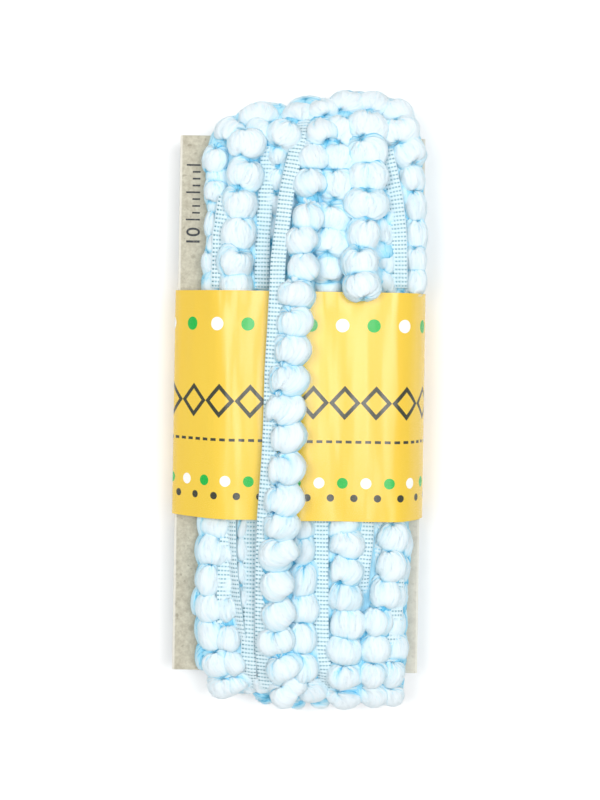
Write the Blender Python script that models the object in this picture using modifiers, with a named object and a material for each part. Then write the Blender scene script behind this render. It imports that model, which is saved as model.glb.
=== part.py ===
"""Pompom fringe trim: about ten metres of trim wound lengthwise on a chipboard card.

The card lies flat in the middle of the winding. A glossy paper band goes round both, and
the last turn of trim crosses the front of the band and ends in a loose end beside it.

Three pieces: the wound trim (its wound form and the main turns, with their puffs), the
card and the band. +Y runs along the trim, +X across it, and +Z points to the viewer. The
origin is at the middle of the flat back.
"""

import math

import bmesh
import bpy
import numpy as np

MM = 0.001

# Card
CARD_WIDTH = 88.0
CARD_LENGTH = 192.0
CARD_THICKNESS = 2.5
CARD_MIDDLE_Y = -1.5
CARD_MIDDLE_Z = 15.5
CARD_CORNER = 1.2
CLEARANCE = 0.35

# Paper band, drawn as the middle surface of the sheet round the winding, seen from below
BAND_SHEET = 1.0
BAND_BOTTOM_Y = -41.3
BAND_TOP_Y = 38.7
BAND_LINE = (
    # x, z
    (44.8, 13.0),
    (44.8, 18.0),
    (43.0, 23.2),
    (39.6, 28.6),
    (35.0, 31.5),
    (26.0, 32.1),
    (13.0, 31.7),
    (0.0, 32.1),
    (-13.0, 31.7),
    (-24.0, 31.6),
    (-30.0, 30.0),
    (-37.2, 24.6),
    (-44.8, 17.8),
    (-44.8, 13.2),
    (-40.2, 8.2),
    (-34.0, 2.3),
    (-29.0, 0.5),
    (33.0, 0.5),
    (38.6, 2.6),
    (42.6, 8.0),
)

# Puffs of the trim. Lengths along it are parts of the pitch, and radii parts of the half width
PUFF_PITCH = 9.5
PUFF_HALF_WIDTH = 5.8
PUFF_HALF_HEIGHT = 4.6
PUFF_SIDES = 12
PUFF_RINGS = (-0.3, -0.1, 0.1, 0.3)
PUFF_ROUNDNESS = 1.6
PUFF_SWELL = 0.06
NECK = 0.58
SQUEEZED = 0.80
SQUEEZE_START = 0.9
CLEAR_OF_BAND = 0.45
SWELL_STEP = 2.3
SWELL_SHIFT = 0.7

# Heading tape, beside the puffs on their left, on the turns where it shows
TAPED_TURNS = ("turn_2", "turn_3", "turn_5", "turn_6", "turn_7")
TAPE_STEP = 14.0
TAPE_WIDTH = 6.4
TAPE_THICKNESS = 2.2
TAPE_OFFSET = -6.6
TAPE_LIFT = 0.9

# Wound form: every turn runs on the surface of this core, round the card's two short ends
CORE_FRONT_Z = 27.2
CORE_BACK_Z = 4.9
CORE_MIDDLE_Z = (CORE_FRONT_Z + CORE_BACK_Z) / 2
CORE_SKIN = 0.3
CORE_STRAIGHT_Y = 88.0
CORE_END_STEPS = 8
CORE_REACH = (
    # x, reach of the top end, reach of the bottom end
    (-30.0, 97.8, 99.6),
    (-22.0, 99.2, 99.8),
    (-14.0, 100.8, 103.4),
    (0.0, 101.8, 104.2),
    (17.0, 104.7, 104.2),
    (30.0, 103.0, 104.2),
    (38.0, 101.0, 102.4),
)
UNDER_BAND_DROP = 0.6
SAMPLE_STEP = 1.0
ARC_STEPS = 36

# The joined turns are softened into one skin, then slimmed to about 10,000 triangles
VOXEL = 0.7
SLIM_RATIO = 0.033

# Turns from left to right: where each one runs on the front, at these heights
FRONT_Y = (100.0, 68.0, 46.0, 38.0, -40.0, -48.0, -72.0, -100.0)
TURNS = (
    # name, x at each height of FRONT_Y, first puff above the band, first puff below it
    ("turn_1", (-28.5, -31.2, -32.6, -27.8, -27.8, -31.0, -31.6, -26.0), 48.4, -47.2),
    ("turn_2", (-18.8, -22.6, -24.0, -22.5, -21.5, -21.5, -21.8, -18.5), 45.4, -46.6),
    ("turn_3", (-6.5, -8.8, -9.4, -10.0, -10.2, -10.2, -10.2, -9.6), 44.2, -46.0),
    ("turn_4", (14.1, 10.5, 9.8, 8.6, 4.0, 3.0, 3.0, 5.4), 45.8, -46.4),
    ("turn_5", (22.5, 21.0, 20.0, 19.6, 17.6, 17.4, 18.0, 17.2), 46.2, -47.0),
    ("turn_6", (31.5, 31.0, 31.2, 31.0, 31.4, 34.6, 31.8, 27.4), 44.0, -47.4),
    ("turn_7", (36.5, 39.8, 40.6, 34.5, 34.5, 38.8, 38.4, 35.0), 44.8, -48.6),
)

# Last turn, over the front of the band, and its loose end
LAST_TURN = (
    # y, x, z
    (88.0, 4.6, 29.6),
    (62.0, 1.0, 32.6),
    (45.0, -1.0, 36.9),
    (20.0, -1.9, 37.2),
    (0.0, -3.6, 37.2),
    (-20.0, -3.5, 37.2),
    (-47.0, -5.2, 36.9),
    (-64.0, -6.8, 32.6),
    (-88.0, -4.6, 29.6),
)
LAST_TURN_CREST_X = (5.6, -3.0)
LOOSE_END = (
    # y, x, z
    (88.0, 22.8, 30.2),
    (70.0, 21.0, 31.4),
    (56.0, 21.0, 32.6),
    (47.0, 20.8, 35.4),
    (42.0, 20.7, 37.2),
    (37.0, 20.6, 37.2),
)
LOOSE_END_CREST_X = 24.0
OVER_CREST = 1.2
BOLSTER_DROP = 4.4
BOLSTER_RINGS = 6
BOLSTER_GAP = 1.0

# Puffs of the inner turns, showing in the two long sides
FLANK_SCALE = 0.76
FLANK_X = (-31.6, 39.6)
FLANK_Z = (21.2, 9.8)
FLANK_TOP_Y = (43.6, 95.0)
FLANK_BOTTOM_Y = (-46.2, -95.0)

PALE_BLUE = (0.66, 0.83, 0.93, 1.0)
CHIPBOARD = (0.56, 0.51, 0.40, 1.0)
BAND_YELLOW = (0.88, 0.60, 0.08, 1.0)


def clear_scene():
    """Removes what the startup scene holds."""
    for item in list(bpy.data.objects):
        bpy.data.objects.remove(item)


def new_collection(name):
    """Returns a new collection of the scene."""
    collection = bpy.data.collections.new(name)
    bpy.context.scene.collection.children.link(collection)
    return collection


def new_material(name, colour, roughness):
    """Returns a plain Principled material."""
    material = bpy.data.materials.new(name)
    material.use_nodes = True
    shader = material.node_tree.nodes["Principled BSDF"]
    shader.inputs["Base Color"].default_value = colour
    shader.inputs["Roughness"].default_value = roughness
    shader.inputs["Metallic"].default_value = 0.0
    return material


def object_from(name, mesh, collection):
    """Returns a new object of this mesh in a collection."""
    item = bpy.data.objects.new(name, mesh)
    collection.objects.link(item)
    return item


def poly_curve(name, points, radii, cyclic, dimensions):
    """Returns curve data with one POLY spline through points in millimetres."""
    curve = bpy.data.curves.new(name, "CURVE")
    curve.dimensions = dimensions
    curve.twist_mode = "MINIMUM"
    spline = curve.splines.new("POLY")
    spline.points.add(len(points) - 1)
    for knot, point, radius in zip(spline.points, points, radii):
        knot.co = (point[0] * MM, point[1] * MM, point[2] * MM, 1.0)
        knot.radius = radius
    spline.use_cyclic_u = cyclic
    return curve


def mesh_of_curve(item):
    """Turns a curve object into a closed mesh object and removes the curve."""
    bpy.context.view_layer.update()
    graph = bpy.context.evaluated_depsgraph_get()
    mesh = bpy.data.meshes.new_from_object(item.evaluated_get(graph))
    shape = bmesh.new()
    shape.from_mesh(mesh)
    bmesh.ops.remove_doubles(shape, verts=shape.verts, dist=0.01 * MM)
    bmesh.ops.recalc_face_normals(shape, faces=shape.faces)
    shape.to_mesh(mesh)
    shape.free()
    solid = object_from(item.name + "_mesh", mesh, item.users_collection[0])
    bpy.data.objects.remove(item)
    return solid


def section(name, outline, collection):
    """Returns a closed curve object that tubes take as their cross-section."""
    points = [(x, y, 0.0) for x, y in outline]
    curve = poly_curve(name, points, [1.0] * len(points), True, "2D")
    item = object_from(name, curve, collection)
    item.hide_render = True
    return item


def round_outline(half_width, half_height, sides):
    """Returns the points of an ellipse with a flat towards the neighbours."""
    steps = [2 * math.pi * (step + 0.5) / sides for step in range(sides)]
    return [(half_width * math.cos(turn), half_height * math.sin(turn)) for turn in steps]


def flat_outline(width, thickness, middle_x, middle_y):
    """Returns the corners of a rectangle beside the section's centre."""
    return [
        (middle_x - width / 2, middle_y - thickness / 2),
        (middle_x + width / 2, middle_y - thickness / 2),
        (middle_x + width / 2, middle_y + thickness / 2),
        (middle_x - width / 2, middle_y + thickness / 2),
    ]


def tube(name, points, radii, profile, collection):
    """Returns a closed mesh tube with this profile swept through the points."""
    curve = poly_curve(name, points, radii, False, "3D")
    curve.bevel_mode = "OBJECT"
    curve.bevel_object = profile
    curve.use_fill_caps = True
    solid = mesh_of_curve(object_from(name, curve, collection))
    solid.hide_render = True
    solid.display_type = "WIRE"
    return solid


def core_reach(x, end):
    """Returns how far the winding reaches at x, at the top (1) or bottom (2) end."""
    table = np.array(CORE_REACH)
    return float(np.interp(x, table[:, 0], table[:, end]))


def end_arc(x, end, front_z, extra, steps, backward):
    """Returns points round one end of the core, from the back to the front.

    The arc is a half ellipse. extra lifts it off the core, and backward runs it from the
    front to the back.
    """
    sign = 1.0 if end == 1 else -1.0
    depth = core_reach(x, end) + extra - CORE_STRAIGHT_Y
    points = []
    for step in range(1, steps):
        turn = math.pi * step / steps
        side = front_z if math.cos(turn) < 0 else CORE_BACK_Z
        z = CORE_MIDDLE_Z + (side - CORE_MIDDLE_Z) * abs(math.cos(turn))
        points.append((x, sign * (CORE_STRAIGHT_Y + depth * math.sin(turn)), z))
    return points[::-1] if backward else points


def straight(start, end):
    """Returns points from start up to end, without end, at about the sample step."""
    count = max(1, round(math.dist(start, end) / SAMPLE_STEP))
    steps = np.linspace(0.0, 1.0, count, endpoint=False)[:, None]
    return [tuple(point) for point in np.array(start) + steps * (np.array(end) - start)]


def front_height(y):
    """Returns the height of a turn's centre line on the front, lower under the band."""
    under_band = BAND_BOTTOM_Y - PUFF_PITCH / 3 < y < BAND_TOP_Y + PUFF_PITCH / 3
    return CORE_FRONT_Z - (UNDER_BAND_DROP if under_band else 0.0)


def turn_route(front_x, start_x, end_x):
    """Returns the centre line of one turn, from the back's middle round to it again."""
    top = CORE_STRAIGHT_Y
    top_x = front_x[0]
    bottom_x = front_x[-1]
    route = straight((start_x, 0.0, CORE_BACK_Z), (top_x, top, CORE_BACK_Z))
    route += end_arc(top_x, 1, CORE_FRONT_Z, 0.0, ARC_STEPS, False)
    heights = np.arange(top, -top - SAMPLE_STEP / 2, -SAMPLE_STEP)
    across = np.interp(-heights, [-height for height in FRONT_Y], front_x)
    route += [(x, y, front_height(y)) for x, y in zip(across, heights)]
    route += end_arc(bottom_x, 2, CORE_FRONT_Z, 0.0, ARC_STEPS, True)
    route += straight((bottom_x, -top, CORE_BACK_Z), (end_x, 0.0, CORE_BACK_Z))
    return np.array(route)


def along_table(table, heights):
    """Returns points at these heights along a table of y, x and z."""
    rows = np.array(table)
    return [
        (np.interp(-y, -rows[:, 0], rows[:, 1]), y, np.interp(-y, -rows[:, 0], rows[:, 2]))
        for y in heights
    ]


def last_turn_route():
    """Returns the centre line of the last turn, from the back's middle to its loose tip.

    It crosses the band on the front, goes round the bottom end and up the back under the
    band, and comes over the top end again as the loose end.
    """
    top = CORE_STRAIGHT_Y
    top_x, bottom_x = LAST_TURN_CREST_X
    start_x = (TURNS[-1][1][-1] + top_x) / 2
    front = along_table(LAST_TURN, np.arange(top, -top - SAMPLE_STEP / 2, -SAMPLE_STEP))
    loose = along_table(LOOSE_END, np.arange(top, LOOSE_END[-1][0], -SAMPLE_STEP))
    route = straight((start_x, 0.0, CORE_BACK_Z), (top_x, top, CORE_BACK_Z))
    route += end_arc(top_x, 1, front[0][2], OVER_CREST, ARC_STEPS, False)
    route += front
    route += end_arc(bottom_x, 2, front[-1][2], OVER_CREST, ARC_STEPS, True)
    route += straight((bottom_x, -top, CORE_BACK_Z), (LOOSE_END_CREST_X, top, CORE_BACK_Z))
    route += end_arc(LOOSE_END_CREST_X, 1, loose[0][2], OVER_CREST, ARC_STEPS, False)
    return np.array(route + loose)


def lengths_along(route):
    """Returns the length along a route at each of its points."""
    steps = np.linalg.norm(np.diff(route, axis=0), axis=1)
    return np.concatenate([[0.0], np.cumsum(steps)])


def point_at(route, lengths, length):
    """Returns the point of a route at a length along it."""
    return tuple(np.interp(length, lengths, route[:, axis]) for axis in range(3))


def is_clear_of_band(point):
    """Tells whether a puff at this point lies above or below the band, or in front of it."""
    clear = PUFF_PITCH * CLEAR_OF_BAND
    in_front = point[2] > CORE_FRONT_Z + CORE_SKIN
    return in_front or not BAND_BOTTOM_Y - clear < point[1] < BAND_TOP_Y + clear


def puff_lengths(route, lengths, first_above, first_below):
    """Returns where a turn's puffs sit, clear of the band on the front and the back.

    They are spaced evenly both ways from the first puff above the band and the first one
    below it.
    """
    front = route[:, 2] > CARD_MIDDLE_Z
    above = lengths[front][np.argmin(np.abs(route[front][:, 1] - first_above))]
    below = lengths[front][np.argmin(np.abs(route[front][:, 1] - first_below))]
    places = list(np.arange(above, 0.0, -PUFF_PITCH))[::-1]
    places += list(np.arange(below, lengths[-1], PUFF_PITCH))
    return [place for place in places if is_clear_of_band(point_at(route, lengths, place))]


def stations(lengths, places):
    """Returns the lengths and radii of a bead tube's rings.

    A puff has four rings and stands between two necks. A stretch with no puffs runs on
    squeezed.
    """
    rings = [(0.0, SQUEEZED)]
    for index, place in enumerate(places):
        before = place - (places[index - 1] if index else 0.0)
        after = (places[index + 1] if index + 1 < len(places) else lengths[-1]) - place
        size = 1.0 + PUFF_SWELL * math.sin(SWELL_STEP * index + SWELL_SHIFT * places[0])
        if before > 2 * PUFF_PITCH:
            rings.append((place - SQUEEZE_START * PUFF_PITCH, SQUEEZED))
        if before > PUFF_PITCH / 2:
            rings.append((place - PUFF_PITCH / 2, NECK))
        for ring in PUFF_RINGS:
            radius = size * math.sqrt(1 - PUFF_ROUNDNESS * ring**2)
            rings.append((place + ring * PUFF_PITCH, radius))
        if after > 1.5 * PUFF_PITCH:
            rings.append((place + PUFF_PITCH / 2, NECK))
            rings.append((place + SQUEEZE_START * PUFF_PITCH, SQUEEZED))
    is_tip = lengths[-1] - places[-1] < PUFF_PITCH
    rings.append((lengths[-1], NECK if is_tip else SQUEEZED))
    return rings


def bead_tube(name, route, places, profile, collection):
    """Returns the mesh of one run of puffs along a route."""
    lengths = lengths_along(route)
    rings = stations(lengths, places)
    points = [point_at(route, lengths, length) for length, _ in rings]
    return tube(name, points, [radius for _, radius in rings], profile, collection)


def tape_tube(name, route, profile, collection):
    """Returns the mesh of a heading tape beside the puffs, from crest to crest."""
    lengths = lengths_along(route)
    on_back = route[:, 2] < CORE_BACK_Z + CORE_SKIN
    first = int(np.argmin(on_back))
    last = first + int(np.argmax(on_back[first:])) - 1
    count = round((lengths[last] - lengths[first]) / TAPE_STEP)
    places = np.linspace(lengths[first], lengths[last], count)
    points = [point_at(route, lengths, place) for place in places]
    return tube(name, points, [1.0] * count, profile, collection)


def make_core(collection):
    """Returns the wound form: a racetrack outline carried across the card in steps.

    The outline is extruded from the left side to the right, and each step is stretched to
    the reach of the winding there.
    """
    stations_x = [row[0] for row in CORE_REACH]

    def outline(x):
        points = end_arc(x, 1, CORE_FRONT_Z, 0.0, CORE_END_STEPS, False)
        points.append((x, CORE_STRAIGHT_Y, CORE_FRONT_Z))
        points.append((x, -CORE_STRAIGHT_Y, CORE_FRONT_Z))
        points += end_arc(x, 2, CORE_FRONT_Z, 0.0, CORE_END_STEPS, True)
        points.append((x, -CORE_STRAIGHT_Y, CORE_BACK_Z))
        points.append((x, CORE_STRAIGHT_Y, CORE_BACK_Z))
        return [tuple(value * MM for value in point) for point in points]

    shape = bmesh.new()
    face = shape.faces.new([shape.verts.new(point) for point in outline(stations_x[0])])
    for x in stations_x[1:]:
        extruded = bmesh.ops.extrude_discrete_faces(shape, faces=[face])["faces"]
        face = extruded[0]
        for vert, point in zip(face.verts, outline(x)):
            vert.co = point
    bmesh.ops.holes_fill(shape, edges=shape.edges)
    bmesh.ops.recalc_face_normals(shape, faces=shape.faces)
    mesh = bpy.data.meshes.new("core")
    shape.to_mesh(mesh)
    shape.free()
    return object_from("wound_trim", mesh, collection)


def make_block(name, size, middle, collection):
    """Returns a box with its size and place in millimetres."""
    shape = bmesh.new()
    bmesh.ops.create_cube(shape, size=1.0)
    bmesh.ops.scale(shape, vec=[value * MM for value in size], verts=shape.verts)
    mesh = bpy.data.meshes.new(name)
    shape.to_mesh(mesh)
    shape.free()
    item = object_from(name, mesh, collection)
    item.location = [value * MM for value in middle]
    return item


def make_band_sheet(name, thickness, extra, collection):
    """Returns the band's sheet: its line round the winding, extruded along it.

    extra lengthens it at both edges.
    """
    length = BAND_TOP_Y - BAND_BOTTOM_Y + 2 * extra
    shape = bmesh.new()
    corners = [shape.verts.new((x * MM, (BAND_BOTTOM_Y - extra) * MM, z * MM)) for x, z in BAND_LINE]
    edges = [
        shape.edges.new((corner, corners[(index + 1) % len(corners)]))
        for index, corner in enumerate(corners)
    ]
    moved = bmesh.ops.extrude_edge_only(shape, edges=edges)["geom"]
    verts = [part for part in moved if isinstance(part, bmesh.types.BMVert)]
    bmesh.ops.translate(shape, verts=verts, vec=(0.0, length * MM, 0.0))
    bmesh.ops.recalc_face_normals(shape, faces=shape.faces)
    mesh = bpy.data.meshes.new(name)
    shape.to_mesh(mesh)
    shape.free()
    item = object_from(name, mesh, collection)
    solidify = item.modifiers.new("Sheet", "SOLIDIFY")
    solidify.thickness = thickness * MM
    solidify.offset = 0.0
    solidify.use_even_offset = True
    return item


def join(target, other, operation):
    """Adds a Boolean with another object to the target."""
    boolean = target.modifiers.new(other.name, "BOOLEAN")
    boolean.operation = operation
    boolean.solver = "MANIFOLD"
    boolean.object = other
    other.hide_render = True
    other.display_type = "WIRE"


def fuse(item, others):
    """Joins other objects to an item and fills the pockets shut in between them.

    A pocket is a shell inside the outer one, so only the largest shell is kept.
    """
    for other in others:
        join(item, other, "UNION")
    bpy.context.view_layer.update()
    graph = bpy.context.evaluated_depsgraph_get()
    mesh = bpy.data.meshes.new_from_object(item.evaluated_get(graph))
    item.modifiers.clear()
    item.data = mesh
    shape = bmesh.new()
    shape.from_mesh(mesh)
    shells = []
    left = set(shape.faces)
    while left:
        shell = set()
        front = [left.pop()]
        while front:
            face = front.pop()
            shell.add(face)
            beside = {other for edge in face.edges for other in edge.link_faces} & left
            left -= beside
            front += beside
        shells.append(shell)
    shells.sort(key=len)
    pockets = [face for shell in shells[:-1] for face in shell]
    bmesh.ops.delete(shape, geom=pockets, context="FACES")
    shape.to_mesh(mesh)
    shape.free()


def make_turns(puff, tape, collection):
    """Returns the tubes of the seven turns that lie under the band."""
    tubes = []
    for index, (name, front_x, first_above, first_below) in enumerate(TURNS):
        before = TURNS[index - 1][1][-1] if index else front_x[0]
        after = TURNS[index + 1][1][0] if index + 1 < len(TURNS) else LAST_TURN_CREST_X[0]
        start_x = (before + front_x[0]) / 2
        end_x = (front_x[-1] + after) / 2
        route = turn_route(front_x, start_x, end_x)
        places = puff_lengths(route, lengths_along(route), first_above, first_below)
        tubes.append(bead_tube(name, route, places, puff, collection))
        if name in TAPED_TURNS:
            tubes.append(tape_tube(name + "_tape", route, tape, collection))
    return tubes


def make_last_turn(puff, tape, collection):
    """Returns the tubes of the last turn with its loose end, and of what carries them."""
    route = last_turn_route()
    lengths = lengths_along(route)
    places = np.arange(lengths[-1] - PUFF_PITCH / 2, 0.0, -PUFF_PITCH)[::-1]
    places = [place for place in places if is_clear_of_band(point_at(route, lengths, place))]
    tubes = [
        bead_tube("last_turn", route, places, puff, collection),
        tape_tube("last_turn_tape", route, tape, collection),
    ]
    runs = (
        ("bolster_top", LAST_TURN, CORE_STRAIGHT_Y, BAND_TOP_Y + BOLSTER_GAP),
        ("bolster_bottom", LAST_TURN, BAND_BOTTOM_Y - BOLSTER_GAP, -CORE_STRAIGHT_Y),
        ("bolster_end", LOOSE_END, CORE_STRAIGHT_Y, BAND_TOP_Y + BOLSTER_GAP),
    )
    for name, table, start_y, end_y in runs:
        heights = np.linspace(start_y, end_y, BOLSTER_RINGS)
        points = [(x, y, z - BOLSTER_DROP) for x, y, z in along_table(table, heights)]
        tubes.append(tube(name, points, [1.0] * BOLSTER_RINGS, puff, collection))
    return tubes


def make_flanks(profile, collection):
    """Returns the short runs of puffs of the inner turns in the two long sides."""
    tubes = []
    for x in FLANK_X:
        for z in FLANK_Z:
            for start_y, end_y in (FLANK_TOP_Y, FLANK_BOTTOM_Y):
                route = np.array([(x, start_y, z), (x, end_y, z)])
                count = int(abs(end_y - start_y) / PUFF_PITCH)
                places = [PUFF_PITCH * (step + 0.5) for step in range(count)]
                name = f"flank_{len(tubes) + 1}"
                tubes.append(bead_tube(name, route, places, profile, collection))
    return tubes


def make_wound_trim(parts, cutters):
    """Returns the wound trim as one solid."""
    wide = round_outline(PUFF_HALF_WIDTH, PUFF_HALF_HEIGHT, PUFF_SIDES)
    small = [(x * FLANK_SCALE, y * FLANK_SCALE) for x, y in wide]
    flat = flat_outline(TAPE_WIDTH, TAPE_THICKNESS, TAPE_OFFSET, -TAPE_LIFT)
    puff = section("puff_section", wide, cutters)
    flank = section("flank_section", small, cutters)
    tape = section("tape_section", flat, cutters)
    trim = make_core(parts)
    tubes = make_turns(puff, tape, cutters)
    tubes += make_last_turn(puff, tape, cutters)
    tubes += make_flanks(flank, cutters)
    fuse(trim, tubes)
    remesh = trim.modifiers.new("Soft", "REMESH")
    remesh.mode = "VOXEL"
    remesh.voxel_size = VOXEL * MM
    slim = trim.modifiers.new("Slim", "DECIMATE")
    slim.ratio = SLIM_RATIO
    slot_size = (
        2 * CARD_WIDTH,
        CARD_LENGTH + 2 * CLEARANCE,
        CARD_THICKNESS + 2 * CLEARANCE,
    )
    slot = make_block("card_slot", slot_size, (0.0, CARD_MIDDLE_Y, CARD_MIDDLE_Z), cutters)
    join(trim, slot, "DIFFERENCE")
    sleeve = make_band_sheet("band_gap", BAND_SHEET + 2 * CLEARANCE, CLEARANCE, cutters)
    join(trim, sleeve, "DIFFERENCE")
    trim.data.materials.append(new_material("pale_blue_trim", PALE_BLUE, 0.9))
    return trim


def make_card(parts):
    """Returns the chipboard card, with slightly rounded corners."""
    size = (CARD_WIDTH, CARD_LENGTH, CARD_THICKNESS)
    card = make_block("card", size, (0.0, CARD_MIDDLE_Y, CARD_MIDDLE_Z), parts)
    bevel = card.modifiers.new("Corners", "BEVEL")
    bevel.width = CARD_CORNER * MM
    bevel.segments = 2
    bevel.limit_method = "WEIGHT"
    upright = card.data.attributes.new("bevel_weight_edge", "FLOAT", "EDGE")
    for edge in card.data.edges:
        ends = [card.data.vertices[index].co for index in edge.vertices]
        is_upright = abs(ends[0].z - ends[1].z) > CARD_THICKNESS * MM / 2
        upright.data[edge.index].value = float(is_upright)
    card.data.materials.append(new_material("chipboard", CHIPBOARD, 0.95))
    return card


def make_label_band(parts):
    """Returns the paper band round the card and the winding."""
    band = make_band_sheet("label_band", BAND_SHEET, 0.0, parts)
    band.data.materials.append(new_material("yellow_paper", BAND_YELLOW, 0.3))
    return band


def main():
    """Builds the three pieces."""
    clear_scene()
    parts = new_collection("pompom_fringe_trim")
    cutters = new_collection("cutters")
    make_wound_trim(parts, cutters)
    make_card(parts)
    make_label_band(parts)


if __name__ == "__main__":
    main()
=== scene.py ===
"""Looks of a pompom fringe trim, wound lengthwise on a chipboard card.

Every puff of the trim is gathered roving, shaped from one modelled form and laid turn by
turn round the card. Knotted heading tape runs beside the puffs, a glossy paper band holds
the winding, and the last turn crosses the band on the front. Sizes are in millimetres: +Y
runs along the trim, +X across it and +Z towards the viewer.
"""

import logging
import math
from collections.abc import Callable, Iterator, Sequence
from contextlib import contextmanager
from dataclasses import dataclass, field, replace
from enum import Enum
from functools import partial

import bmesh
import bpy
import numpy as np
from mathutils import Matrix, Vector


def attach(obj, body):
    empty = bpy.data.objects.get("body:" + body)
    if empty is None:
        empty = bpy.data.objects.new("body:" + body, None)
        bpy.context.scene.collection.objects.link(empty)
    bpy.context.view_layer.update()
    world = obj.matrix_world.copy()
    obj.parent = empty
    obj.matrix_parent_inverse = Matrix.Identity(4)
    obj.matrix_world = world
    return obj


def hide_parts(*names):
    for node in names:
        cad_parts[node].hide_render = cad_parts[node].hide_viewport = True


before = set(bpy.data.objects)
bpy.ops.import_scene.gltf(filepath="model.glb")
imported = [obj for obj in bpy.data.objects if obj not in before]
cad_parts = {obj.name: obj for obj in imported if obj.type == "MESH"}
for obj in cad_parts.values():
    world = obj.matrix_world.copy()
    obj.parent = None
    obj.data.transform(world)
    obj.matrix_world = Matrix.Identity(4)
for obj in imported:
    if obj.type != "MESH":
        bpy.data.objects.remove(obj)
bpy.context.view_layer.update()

LOG = logging.getLogger("pompom_trim")
MM = 0.001
BODY = "root"

Item = bpy.types.Object
Array = np.ndarray
Colour = tuple[float, float, float]
Row = tuple[float, ...]
Mesh = tuple[Array, Sequence[tuple[int, ...]]]


# --- Shader maths -------------------------------------------------------------------------


class Value:
    """One output of a material's nodes. Python's arithmetic on it adds Math nodes."""

    def __init__(self, nodes: "Nodes", socket: bpy.types.NodeSocket) -> None:
        """Keeps the socket and the nodes that it belongs to."""
        self.nodes = nodes
        self.socket = socket

    def maths(self, operation: str, *terms: "Value | float") -> "Value":
        """Adds one Math node.

        Args:
            operation: Blender's name of the operation.
            terms: what goes into its inputs, in order.

        Returns:
            The node's output.
        """
        return self.nodes.add("ShaderNodeMath", {"operation": operation}, dict(enumerate(terms)))

    def __add__(self, other: "Value | float") -> "Value":
        """Sum."""
        return self.maths("ADD", self, other)

    def __sub__(self, other: "Value | float") -> "Value":
        """Difference."""
        return self.maths("SUBTRACT", self, other)

    def __rsub__(self, other: "Value | float") -> "Value":
        """Difference, from the number on the left."""
        return self.maths("SUBTRACT", other, self)

    def __mul__(self, other: "Value | float") -> "Value":
        """Product."""
        return self.maths("MULTIPLY", self, other)

    def __truediv__(self, other: "Value | float") -> "Value":
        """Quotient."""
        return self.maths("DIVIDE", self, other)

    def __lt__(self, other: "Value | float") -> "Value":
        """1 where this is the smaller, and 0 elsewhere."""
        return self.maths("LESS_THAN", self, other)

    def __abs__(self) -> "Value":
        """Size without the sign."""
        return self.maths("ABSOLUTE", self)

    def wrapped(self, pitch: float) -> "Value":
        """The rest after whole pitches, from 0 up to the pitch."""
        return self.maths("FLOORED_MODULO", self, pitch)

    def rising(self, start: float, end: float) -> "Value":
        """Goes smoothly from 0 at start to 1 at end."""
        ranges = {1: start, 2: end, 3: 0.0, 4: 1.0}
        settings = {"interpolation_type": "SMOOTHSTEP"}
        return self.nodes.add("ShaderNodeMapRange", settings, {0: self, **ranges})


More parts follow.
